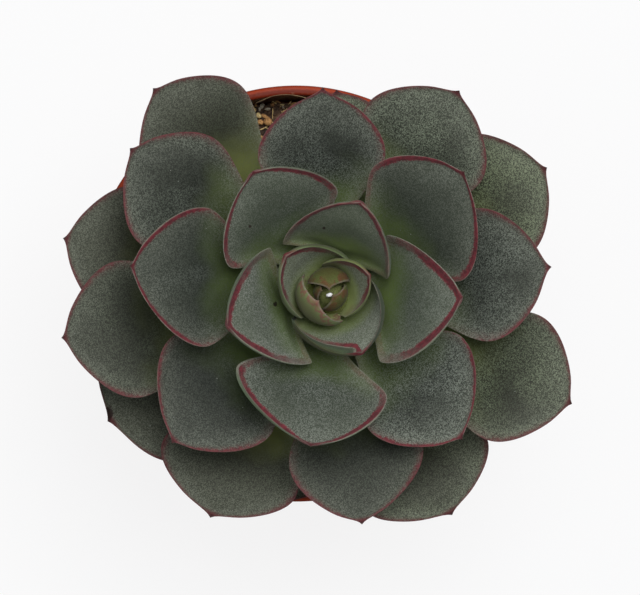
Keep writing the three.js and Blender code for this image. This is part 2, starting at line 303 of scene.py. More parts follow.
class Finish(ABC):
    """A material that is made once and shared."""

    label: str
    _made: dict[Any, bpy.types.Material] = {}

    def material(self) -> bpy.types.Material:
        """Makes the material at its first use.

        Returns:
            The material.
        """
        if self not in Finish._made:
            made = bpy.data.materials.new(self.label)
            made.use_nodes = True
            bench = Bench(made.node_tree)
            shader = made.node_tree.nodes["Principled BSDF"]
            self.dress(bench, shader.inputs)
            Finish._made[self] = made
        return Finish._made[self]

    @abstractmethod
    def dress(self, bench: Bench, shader: bpy.types.NodeInputs) -> None:
        """Feeds the shader's sockets.

        Args:
            bench: The bench of the material's tree.
            shader: The shader's sockets.
        """

    @staticmethod
    def relief(bench: Bench, shader: bpy.types.NodeInputs, height: Signal, depth: float) -> None:
        """Feeds the shader's normal from a height.

        Args:
            bench: The bench of the material's tree.
            shader: The shader's sockets.
            height: Height from 0 to 1.
            depth: What a height of 1 stands for, in millimetres.
        """
        bump = bench.node("ShaderNodeBump", Height=height, Distance=depth * MM)
        bench.feed(shader["Normal"], bump.outputs[0])


@dataclass(frozen=True)
class LeafSkin(Finish):
    """Fleshy skin under a frosted bloom, with a crimson margin and a pale rounded side.

    The leaf carries its distance from the margin, the tip and the midrib in millimetres, its place along
    the blade from 0 at the foot to 1 at the tip, its hem, its tone, and its age as a share of the oldest
    rank. A blemish is a place seen from above and two half sizes, in millimetres.
    """

    label: str = "frosted_leaf_skin"
    dark: Colour = paint(30, 34, 29)
    frosted: Colour = paint(106, 112, 104)
    old_dark: Colour = paint(33, 34, 24)
    old_frosted: Colour = paint(106, 117, 88)
    young_dark: Colour = paint(60, 70, 54)
    young_frosted: Colour = paint(140, 144, 138)
    fresh: Colour = paint(98, 118, 54)
    olive: Colour = paint(150, 158, 84)
    lime: Colour = paint(164, 178, 106)
    crimson: Colour = paint(115, 41, 52)
    maroon: Colour = paint(72, 28, 35)
    mauve: Colour = paint(98, 44, 50)
    silver_sheen: Colour = paint(157, 161, 146)
    moss: Colour = paint(74, 68, 36)
    russet: Colour = paint(126, 64, 54)
    pale: Colour = paint(112, 122, 100)
    # A waxy pale for rank 3, and the painted highlight along young margins.
    waxy_and_highlight: Colour = paint(140, 134, 122)
    underside: Colour = paint(88, 104, 78)
    dry: Colour = paint(38, 26, 24)
    dust: Colour = paint(196, 200, 196)
    roughness: float = 0.62
    specular: float = 0.16
    sheen: float = 0.06
    sheen_roughness: float = 0.4
    relief_depth: float = 0.06
    grain: float = 0.15
    bloom: float = 0.38
    # Where and how wide the dark middle patch lies: bloom rubbed thin and painted shade in the hollow.
    worn_and_shaded_at: float = 10.5
    worn_and_shaded_spread: tuple[float, float] = (50.0, 60.0)
    # How much and how far the blade lightens by its margin: denser bloom and painted sheen.
    bloom_and_sheen: float = 0.38
    bloom_and_sheen_reach: float = 2.4
    line_width: float = 1.9
    blemishes: Sequence[tuple[float, float, float, float]] = (
        (5.7, 12.8, 0.32, 0.26), (-8.8, 13.1, 0.36, 0.3), (-38.0, -24.4, 0.95, 1.6), (-3.9, -2.1, 0.4, 0.5))

    @staticmethod
    def _ranks(bench: Bench, age: Signal, first: int, last: int) -> Signal:
        """A share that is 1 on the leaves from one rank to another and 0 on the others."""
        return bench.band(age, (first - 0.3) / OLDEST_RANK, (last + 0.3) / OLDEST_RANK, 0.01)

    def _blade(self, bench: Bench, cloud: Signal, speckle: Signal) -> tuple[Signal, Signal]:
        """The upper face: bloom in grains, rubbed thin in the middle where painted shade darkens the hollow
        too, over flesh that is greener at the foot.

        Args:
            bench: The bench of the material's tree.
            cloud: Broad unevenness from 0 to 1.
            speckle: The bloom's grains, from 0 to 1.

        Returns:
            The colour, and how frosted the place is.
        """
        rim, along, tip, across, age, tone = bench.carried("rim", "along", "tip", "across", "age", "tone")
        young = bench.ease(age, 0.46, 0.2)
        older = bench.ease(age, 0.5, 0.78)
        heart = bench.ease(age, 0.25, 0.1)
        # Painted shade: a dark patch in the hollow middle, shifted aside on older leaves, with bloom rubbed
        # thin there.
        from_worn_and_shaded = tip - self.worn_and_shaded_at + young * 3
        beside = across + bench.ease(age, 0.3, 0.5) * 2.4
        across_worn_and_shaded, along_worn_and_shaded = self.worn_and_shaded_spread
        away_from_worn_and_shaded = beside * beside / across_worn_and_shaded + from_worn_and_shaded * from_worn_and_shaded / along_worn_and_shaded
        worn_and_shaded = (-away_from_worn_and_shaded).exp() * (1 - young * 0.6)
        bloom = self.bloom - older * 0.06 - worn_and_shaded * bench.ease(cloud, 0.7, 0.36) * 0.42
        # Painted light: the tone lightens or darkens the bloom for how the leaf is lit; by the margin it
        # thickens, partly painted sheen.
        bloom = bloom + (cloud - 0.5) * 0.5 + tone + bench.ease(rim, 6.5, 0.6) * 0.14
        bloom = bench.least(bench.most(bloom, 0.1), 0.88)
        frost = bloom * (0.02 + young * 0.2 + speckle * (1.6 - young * 0.5))
        reach = bench.ease(along + young * 0.1 - older * 0.08 + (cloud - 0.5) * 0.3, 0.66, 0.28)
        green = reach * (0.6 + young * 0.2 + older * 0.15) * (1.1 - speckle * 0.3)
        # Painted sheen: lighter towards the margin and the tip, partly denser bloom there.
        bloom_and_sheen = (-(bench.most(rim, 0.0) / (self.bloom_and_sheen_reach + young * 1.2))).exp() * self.bloom_and_sheen
        bloom_and_sheen = bloom_and_sheen + bench.ease(tip, 17, 3) * (0.11 + older * 0.07)
        blade = bench.blend(
            self.dark, (older, self.old_dark), (young, self.young_dark),
            (frost, bench.blend(self.frosted, (older, self.old_frosted), (young, self.young_frosted))),
            (bench.least(green, 1.0), bench.tint(older, self.fresh, self.olive)),
            (bloom_and_sheen * (0.45 + speckle), self.silver_sheen),
            (heart * (0.12 + reach * 0.68), self.lime))
        return blade, frost

    def _side(self, bench: Bench, rim: Signal, age: Signal, speckle: Signal) -> Signal:
        """The rounded side and the lower face, palest along the margin.

        Args:
            bench: The bench of the material's tree.
            rim: Distance inwards from the red line, below 0 outside it, in millimetres.
            age: The leaf's rank as a share of the oldest one's.
            speckle: The bloom's grains, from 0 to 1.

        Returns:
            The colour.
        """
        flush = bench.tint(self._ranks(bench, age, 4, 5) * 0.45, self.fresh, self.olive)
        shaded = self._ranks(bench, age, 6, 6) * bench.ease(rim, -2.6, -0.9) * 0.55
        return bench.blend(
            self.underside, (bench.ease(rim, -2.2, -0.5), self.pale),
            (bench.least(age * 1.3, 1.0) * 0.5 + speckle * 0.12, self.dark),
            (bench.ease(age, 0.19, 0.1) * 0.75, flush), (shaded, self.dark),
            (bench.ease(rim, -1.2, -4.5) * bench.ease(age, 0.24, 0.2) * 0.6, self.moss))

    def _redness(self, bench: Bench, rim: Signal, fine: Signal, blotch: Signal, speck: Signal) -> Signal:
        """How red a place is: a ragged line along the margin, wider at the tip.

        Args:
            bench: The bench of the material's tree.
            rim: Distance inwards from the red line, below 0 outside it, in millimetres.
            fine: Small unevenness from 0 to 1.
            blotch: Middling unevenness from 0 to 1.
            speck: The shade of single grains, from 0 to 1.

        Returns:
            The share of red, from 0 to 1.
        """
        along, tip, age = bench.carried("along", "tip", "age")
        core = self._ranks(bench, age, 0, 3)
        seventh = self._ranks(bench, age, 7, 7)
        old = bench.ease(age, 0.4, 0.55)
        ragged = rim + (fine - 0.5) * 0.9 + (speck - 0.5) * 0.5
        width = self.line_width - bench.ease(age, 0.36, 0.44) * 0.95 - bench.ease(tip, 9, 15) * 0.7
        width = width + (blotch - 0.5) * 0.9 + self._ranks(bench, age, 8, 9) * 0.9 + seventh * 0.1
        width = width + self._ranks(bench, age, 4, 5) * (0.4 + blotch * 1.8)
        inset = bench.ease(age, 0.5, 0.3) * (0.1 + fine * 0.3) - 0.12 - seventh * 0.5
        line = bench.ease(ragged, width + 0.5 + old * 0.4, width - 0.3 - old * 0.5)
        line = line * bench.ease(rim, inset - 0.2, inset + 0.12) * (1 - old * 0.08)
        glow = bench.ease(ragged, 2.6, 0.4) * bench.ease(rim, inset - 0.6, inset) * 0.25
        point = bench.ease(tip, 1.9, 0.7) * 0.9
        behind = bench.band(rim + (fine - 0.5) * 1.2, -1.9, -0.9, 0.6) * bench.ease(blotch, 0.42, 0.6) * core
        upwards = bench.ease(along + (blotch - 0.5) * 0.5, 0.4, 0.74)
        fading = bench.ease(along, 0.14, 0.3) * (0.25 + upwards * 0.75)
        fading = fading * (1 - bench.ease(age, 0.55, 0.75) * bench.ease(along, 0.75, 0.5) * 0.7)
        redness = bench.most(bench.most(bench.most(line * 0.92, glow), point), behind)
        return redness * fading * (1 - core * 0.3)

    def _blemishes(self, bench: Bench, place: Signal, fine: Signal) -> Signal:
        """The few dark marks on the blades, seen from above.

        Args:
            bench: The bench of the material's tree.
            place: The place on the piece, in metres.
            fine: Small unevenness from 0 to 1, which frays the marks.

        Returns:
            How dark the place is, from 0 to 1.
        """
        x, y, _ = (length / MM for length in bench.split(place))
        dark = 0.0
        for at_x, at_y, half_x, half_y in self.blemishes:
            out_x, out_y = (x - at_x) / half_x, (y - at_y) / half_y
            dark = bench.most(bench.ease(out_x * out_x + out_y * out_y + (fine - 0.5) * 2.5, 1.2, 0.5), dark)
        return dark * 0.9

    def dress(self, bench: Bench, shader: bpy.types.NodeInputs) -> None:
        """Feeds the shader's sockets.

        Args:
            bench: The bench of the material's tree.
            shader: The shader's sockets.
        """
        place = bench.place()
        margin, hem, tip, age = bench.carried("rim", "hem", "tip", "age")
        rim = margin - hem
        cloud = bench.noise(place, 10, 3)
        blotch = bench.noise(place, 2.4, 3)
        fine = bench.noise(place, 0.8, 2)
        grain = bench.noise(place, self.grain, 1.0, 0.6)
        speck = bench.specks(place, self.grain)
        speckle = bench.ease(speck * 0.8 + grain * 0.2, 0.31, 0.81)
        blade, frost = self._blade(bench, cloud, speckle)
        under = bench.ease(rim + (fine - 0.5) * 0.15, -0.08, -0.3)
        reddest = bench.blend(
            self.crimson, (bench.ease(age, 0.3, 0.75), self.mauve),
            (bench.ease(fine, 0.42, 0.6) * 0.6, self.maroon), (bench.ease(age, 0.14, 0.1) * 0.8, self.russet))
        rusty = bench.tint(bench.ease(age, 0.07, 0.09) * 0.55, self.russet, self.crimson)
        flecks = bench.ease(blotch * 0.4 + fine * 0.6, 0.46, 0.57) * bench.ease(age, 0.14, 0.09)
        # Painted highlight: a pale line along the margin's edge of the younger leaves.
        edge = bench.band(rim, -0.4, 0.1, 0.1) * bench.ease(age, 0.6, 0.35) * bench.ease(blotch, 0.3, 0.6)
        burnt = bench.ease(tip + (fine - 0.5) * 1.4, 0.9, 0.3) * bench.ease(age, 0.25, 0.4)
        skin = bench.blend(
            blade, (under, self._side(bench, rim, age, speckle)),
            (self._redness(bench, rim, fine, blotch, speck), reddest),
            (flecks * bench.ease(abs(rim), 3.6, 0.6) * 0.8, rusty),
            (self._ranks(bench, age, 3, 3) * 0.16, self.waxy_and_highlight),
            (bench.ease(age, 0.09, 0.06) * (0.5 + speckle * 0.3), self.moss),
            (edge * 0.4, self.waxy_and_highlight),
            (bench.most(burnt * 0.7, self._blemishes(bench, place, fine)), self.dry),
            (bench.ease(speck, 0.975, 0.99) * bench.ease(rim, 0.3, 1.0) * 0.5, self.dust))
        bench.feed(shader["Base Color"], skin)
        bench.feed(shader["Roughness"], self.roughness + frost * 0.22 + under * 0.04)
        self.relief(bench, shader, grain * 0.3 + speck * 0.3 + fine * 0.5 + blotch * 0.9, self.relief_depth)
        shader["Specular IOR Level"].default_value = self.specular
        shader["Sheen Weight"].default_value = self.sheen
        shader["Sheen Roughness"].default_value = self.sheen_roughness


@dataclass(frozen=True)
class MouldedPlastic(Finish):
    """Terracotta polypropylene: satin, with moulding swirls, scuffs and dried dust.

    The crest is the lip's highest circle, from where painted shade darkens the colour both ways, and painted
    shade darkens the inner wall below the top.
    """

    label: str = "terracotta_plastic"
    body: Colour = paint(160, 58, 27)
    deep: Colour = paint(84, 26, 17)
    dust: Colour = paint(150, 120, 96)
    # The colour of the painted shade inside the pot.
    wall_shade: Colour = paint(44, 22, 16)
    roughness: float = 0.38
    specular: float = 0.1
    relief_depth: float = 0.05
    crest: float = 42.0
    top: float = 74.0

    def dress(self, bench: Bench, shader: bpy.types.NodeInputs) -> None:
        """Feeds the shader's sockets.

        Args:
            bench: The bench of the material's tree.
            shader: The shader's sockets.
        """
        place = bench.place()
        x, y, height = (length / MM for length in bench.split(place))
        radius = (x * x + y * y) ** 0.5
        swirl = bench.noise(place, 11, 3)
        scuff = bench.noise(bench.vector("MULTIPLY", place, (1.0, 1.0, 0.12)), 0.8, 3, 0.6)
        specks = bench.noise(place, 0.7, 2)
        [inside] = bench.carried("inside")
        # Painted shade down both flanks of the rolled lip.
        lip_shade = bench.ease(radius + (scuff - 0.5) * 0.3, self.crest - 0.1, self.crest - 0.7) * 0.7
        lip_shade = bench.most(lip_shade, bench.ease(radius, self.crest + 0.05, self.crest + 0.4) * 0.55)
        dusty = bench.ease(specks, 0.6, 0.76) * bench.ease(swirl, 0.4, 0.7)
        dusty = dusty * 0.35 + bench.ease(height, 6, 0) * 0.25
        # Painted shade on the inner wall, from just under the top downwards.
        inner_wall_shade = inside * bench.ease(height + (swirl - 0.5) * 2.5, self.top - 0.4, self.top - 2.4) * 0.85
        bench.feed(shader["Base Color"], bench.blend(
            self.body, (bench.ease(swirl, 0.2, 0.8) * 0.34, self.deep),
            (lip_shade * bench.ease(height, self.top - 1.4, self.top - 0.8), self.deep),
            (dusty, self.dust), (inner_wall_shade, self.wall_shade)))
        bench.feed(shader["Roughness"], self.roughness + dusty * 0.4 + bench.ease(scuff, 0.5, 0.7) * 0.14)
        rings = (height * 7.0 + swirl * 2.0).sin() * 0.2
        self.relief(bench, shader, rings + scuff * 0.5 + specks * 0.4, self.relief_depth)
        shader["Specular IOR Level"].default_value = self.specular


@dataclass(frozen=True)
class Crumbs(Finish):
    """A crumbly or corky stuff in two mixed colours with a grain of a size in millimetres."""

    label: str
    light: Colour
    shade: Colour
    grain: float = 0.8
    roughness: float = 0.9
    relief_depth: float = 0.22

    def dress(self, bench: Bench, shader: bpy.types.NodeInputs) -> None:
        """Feeds the shader's sockets.

        Args:
            bench: The bench of the material's tree.
            shader: The shader's sockets.
        """
        place = bench.place()
        broad = bench.noise(place, self.grain * 5, 4, 0.6)
        fine = bench.noise(place, self.grain, 3, 0.6)
        mixed = bench.ease(broad * 0.6 + fine * 0.4, 0.36, 0.64)
        bench.feed(shader["Base Color"], bench.tint(mixed, self.shade, self.light))
        bench.feed(shader["Roughness"], self.roughness - mixed * 0.12)
        self.relief(bench, shader, broad + fine, self.relief_depth)


@dataclass(frozen=True)
class PaleFloor(Finish):
    """A plain pale backdrop that is lit from below as well, with the faintest unevenness."""

    label: str = "pale_floor"
    colour: Colour = paint(101, 101, 102)
    shade: Colour = paint(98, 99, 100)
    shine: Colour = (1.0, 1.0, 1.0, 1.0)
    glow: float = 0.838
    roughness: float = 0.9
    specular: float = 0.1

    def dress(self, bench: Bench, shader: bpy.types.NodeInputs) -> None:
        """Feeds the shader's sockets.

        Args:
            bench: The bench of the material's tree.
            shader: The shader's sockets.
        """
        cloud = bench.noise(bench.place(), 160, 1)
        bench.feed(shader["Base Color"], bench.tint(cloud, self.colour, self.shade))
        shader["Emission Color"].default_value = self.shine
        shader["Emission Strength"].default_value = self.glow
        shader["Roughness"].default_value = self.roughness
        shader["Specular IOR Level"].default_value = self.specular


class Stuff(Enum):
    """The mix's four kinds of crumbs, the stem's cork and the pure white stuff that paints a glint in the
    heart.
    """

    PEAT = Crumbs("peat", paint(112, 84, 62), paint(46, 34, 27), 0.9)
    BARK = Crumbs("bark", paint(222, 168, 106), paint(130, 88, 54), 0.6)
    STRAW = Crumbs("straw", paint(246, 222, 160), paint(206, 168, 104), 0.5)
    PUMICE = Crumbs("pumice", paint(196, 186, 168), paint(138, 126, 108), 0.4)
    CORK = Crumbs("cork", paint(146, 122, 88), paint(88, 68, 46), 1.2)
    # Pure white, to paint the glint in the heart.
    GLINT = Crumbs("glint", paint(255, 255, 255), paint(246, 246, 246), 0.3, 0.3)


class Rule:
    """A Geometry Nodes tree with named inputs, and the plain meshes that it gives."""

    KINDS = {"float": "NodeSocketFloat", "int": "NodeSocketInt", "vector": "NodeSocketVector",
             "material": "NodeSocketMaterial", "object": "NodeSocketObject"}

    def __init__(self, name: str, inlets: dict[str, str]) -> None:
        """Starts a tree with a geometry input and the named ones.

        Args:
            name: The tree's name.
            inlets: The kind of each further input, by its name.
        """
        self.tree = bpy.data.node_groups.new(name, "GeometryNodeTree")
        self.bench = Bench(self.tree)
        face = self.tree.interface
        face.new_socket("Geometry", in_out="INPUT", socket_type="NodeSocketGeometry")
        face.new_socket("Geometry", in_out="OUTPUT", socket_type="NodeSocketGeometry")
        self.identifiers = {}
        for inlet, kind in inlets.items():
            made = face.new_socket(inlet, in_out="INPUT", socket_type=self.KINDS[kind])
            self.identifiers[inlet] = made.identifier
        self._entry = self.tree.nodes.new("NodeGroupInput")

    def inlet(self, name: str) -> Signal:
        """An input of the tree."""
        return self.bench.out(self._entry, name)

    def here(self) -> Signal:
        """Where a point lies, in metres."""
        return self.bench.get("GeometryNodeInputPosition")

    def outward(self) -> Signal:
        """Which way a point faces."""
        return self.bench.get("GeometryNodeInputNormal")

    def carried(self, name: str) -> Signal:
        """A number that the mesh carries."""
        return self.bench.get("GeometryNodeInputNamedAttribute", {"data_type": "FLOAT"}, Name=name)

    def keep(self, geometry: Signal, name: str, value: Signal) -> Signal:
        """Keeps a number on the points of a mesh."""
        return self.bench.get("GeometryNodeStoreNamedAttribute", {"data_type": "FLOAT", "domain": "POINT"},
                              Geometry=geometry, Name=name, Value=value)

    def moved(self, geometry: Signal, **way: Any) -> Signal:
        """A geometry with its points moved to a Position or by an Offset."""
        return self.bench.get("GeometryNodeSetPosition", Geometry=geometry, **way)

    def welded(self, geometry: Signal, distance: float) -> Signal:
        """A mesh whose points within a distance of each other are merged."""
        return self.bench.get("GeometryNodeMergeByDistance", Geometry=geometry, Distance=distance)

    def close(self, geometry: Signal, smooth: bool = True) -> None:
        """Ends the tree on real meshes with the material of its Material input.

        Args:
            geometry: What the tree has made.
            smooth: Whether faces shade smoothly into each other.
        """
        bench = self.bench
        real = bench.get("GeometryNodeRealizeInstances", Geometry=geometry)
        shaded = bench.get("GeometryNodeSetShadeSmooth", Geometry=real, Shade_Smooth=smooth)
        dressed = bench.get("GeometryNodeSetMaterial", Geometry=shaded, Material=self.inlet("Material"))
        leave = self.tree.nodes.new("NodeGroupOutput")
        bench.feed(leave.inputs[0], dressed)

    def make(self, name: str, base: bpy.types.Mesh | None = None, **values: Any) -> bpy.types.Object:
        """Runs the tree once and keeps its result as a plain mesh.

        Args:
            name: The new object's name.
            base: The mesh that the tree starts from.
            **values: A value for each input, by its name with _ for a space.

        Returns:
            An object at the origin with no modifier.
        """
        carrier = bpy.data.objects.new("carrier", base or bpy.data.meshes.new("empty"))
        bpy.context.scene.collection.objects.link(carrier)
        modifier = carrier.modifiers.new("rule", "NODES")
        modifier.node_group = self.tree
        for inlet, value in values.items():
            modifier[self.identifiers[inlet.replace("_", " ")]] = value
        seen = bpy.context.evaluated_depsgraph_get()
        mesh = bpy.data.meshes.new_from_object(carrier.evaluated_get(seen), depsgraph=seen)
        carrier.modifiers.remove(modifier)
        bpy.data.objects.remove(carrier)
        return placed(name, mesh)


def placed(name: str, mesh: bpy.types.Mesh) -> bpy.types.Object:
    """Puts a mesh into the scene at the origin.

    Args:
        name: The object's name.
        mesh: Its mesh, in metres.

    Returns:
        The object.
    """
    mesh.name = name
    made = bpy.data.objects.new(name, mesh)
    bpy.context.scene.collection.objects.link(made)
    return made


def joined(name: str, pieces: Sequence[bpy.types.Object]) -> bpy.types.Object:
    """Joins objects at the origin into one.

    Args:
        name: The joined object's name.
        pieces: The objects, which are used up.

    Returns:
        The joined object.
    """
    bpy.ops.object.select_all(action="DESELECT")
    for piece in pieces:
        piece.select_set(True)
    bpy.context.view_layer.objects.active = pieces[0]
    bpy.ops.object.join()
    pieces[0].name = name
    pieces[0].data.name = name
    return pieces[0]


def polyline(name: str, points: Sequence[Point], radii: Sequence[float] | None = None) -> bpy.types.Mesh:
    """A mesh of edges through points, for a tree to follow.

    Args:
        name: The mesh's name.
        points: Places in millimetres.
        radii: A radius in millimetres at each place, kept as the attribute "girth".

    Returns:
        The mesh, in metres.
    """
    mesh = bpy.data.meshes.new(name)
    edges = [(i, i + 1) for i in range(len(points) - 1)]
    mesh.from_pydata([Vector(p) * MM for p in points], edges, [])
    if radii:
        girth = mesh.attributes.new("girth", "FLOAT", "POINT")
        girth.data.foreach_set("value", [r * MM for r in radii])
    return mesh


def lump(start: Point, end: Point, girth: float) -> bpy.types.Mesh:
    """A line with rounded ends, to be skinned as one bit of a loose stuff.

    Args:
        start: One end, in millimetres.
        end: The other end, in millimetres.
        girth: The radius in its middle, in millimetres.

    Returns:
        The line's mesh.
    """
    spots = (-1, -0.92, -0.7, -0.35, 0, 0.35, 0.7, 0.92, 1)
    middle, half = (Vector(end) + Vector(start)) / 2, (Vector(end) - Vector(start)) / 2
    girths = [max(0.03, girth * math.sqrt(1 - s * s)) for s in spots]
    return polyline("lump", [middle + half * s for s in spots], girths)


def report(piece: bpy.types.Object) -> None:
    """Logs a finished piece."""
    log.info("%s: %d faces", piece.name, len(piece.data.polygons))


@dataclass(frozen=True)
class Law:
    """A measure that starts at its inner value at rank 0 and fades towards its outer value."""

    outer: float
    inner: float
    fade: float

    def at(self, rank: int) -> float:
        """The measure for a rank."""
        return self.outer + (self.inner - self.outer) * math.exp(-rank / self.fade)


@dataclass(frozen=True)
class Axis:
    """The stem's line, which leans a little, with the heart at its top and each rank one pitch lower."""

    x: float = 6.85
    y: float = 0.1
    z: float = 95.0
    lean: float = 0.083
    pitch: float = 0.85
    radius: float = 5.2
    clearance: float = 0.3

    def at(self, z: float) -> Vector:
        """The point of the line at a height."""
        return Vector((self.x + self.lean * (z - self.z), self.y, z))


BASE_RISE = Law(5, 100, 11.5)
TIP_RISE = Law(0, 115, 9)
WRAP = Law(16, 110, 6)
SHOULDER = Law(0.9, 1.6, 8)
WIDEST_SHARE = 0.62


@dataclass(frozen=True)
class Blade:
    """One leaf as the plant carries it; what isn't given follows from its rank on the spiral.

    Lengths are in millimetres and angles in degrees. The reach goes from the stem's line to the tip, seen
    from above. A bow bends the midrib aside, a turn slants the blade across it and a roll tips it over.
    The two rises are the midrib's elevation at its ends, and the wrap is how far each side curls up. The
    tone makes the bloom denser or thinner, and paints the leaf lighter or darker for how it is lit and
    shaded. Hems are the pale flanks that show beyond the red line, left and right of the tip when it points
    ahead.
    """

    rank: int
    azimuth: float
    reach: float
    half_width: float
    length: float | None = None
    bow: float = 0.0
    turn: float = 0.0
    roll: float = 0.0
    lift: float = 0.0
    base_rise: float | None = None
    tip_rise: float | None = None
    wrap: float | None = None
    shoulder: float | None = None
    point: float = 1.3
    foot_width: float = 0.26
    plump: float = 1.0
    # Denser or thinner bloom, and painted light and shade for how the leaf is lit.
    tone: float = 0.0
    hem: tuple[float, float] = (0.0, 0.0)

    @property
    def name(self) -> str:
        """The leaf's node."""
        return f"leaf_{self.rank:02d}"

    def settings(self, axis: Axis) -> dict[str, Any]:
        """Works out the inputs of the leaf rule.

        Args:
            axis: The stem's line.

        Returns:
            A value for each input, lengths in millimetres and angles in radians.
        """
        given = {"base": self.base_rise, "tip": self.tip_rise, "wrap": self.wrap, "shoulder": self.shoulder}
        laws = {"base": BASE_RISE, "tip": TIP_RISE, "wrap": WRAP, "shoulder": SHOULDER}
        own = {name: laws[name].at(self.rank) if value is None else value for name, value in given.items()}
        foot = axis.at(axis.z - axis.pitch * self.rank)
        heading = Vector((math.cos(math.radians(self.azimuth)), math.sin(math.radians(self.azimuth)), 0))
        out = Vector((axis.x, axis.y, 0)) + heading * self.reach - Vector((foot.x, foot.y, 0))
        start_rise = math.radians(own["base"] + self.lift)
        bend = math.radians(own["tip"] - own["base"])
        run = (math.sin(start_rise + bend) - math.sin(start_rise)) / bend
        length = self.length or (out.length - axis.radius - axis.clearance) / run
        return {
            "Foot": foot,
            "Away": out.normalized(),
            "Start": out.length - length * run,
            "Length": length,
            "Base_Rise": start_rise,
            "Bend": bend,
            "Bow": self.bow,
            "Roll": math.radians(self.roll),
            "Swing": math.radians(self.turn),
            "Half_Width": self.half_width,
            "Widest": min(own["shoulder"] * self.half_width, WIDEST_SHARE * length),
            "Point": self.point,
            "Foot_Width": self.foot_width,
            "Plump": self.plump,
            "Wrap_Radius": self.half_width / math.radians(own["wrap"]),
            "Age": self.rank / OLDEST_RANK,
            "Tone": self.tone,
            "Hem_Left": self.hem[0],
            "Hem_Right": self.hem[1],
        }


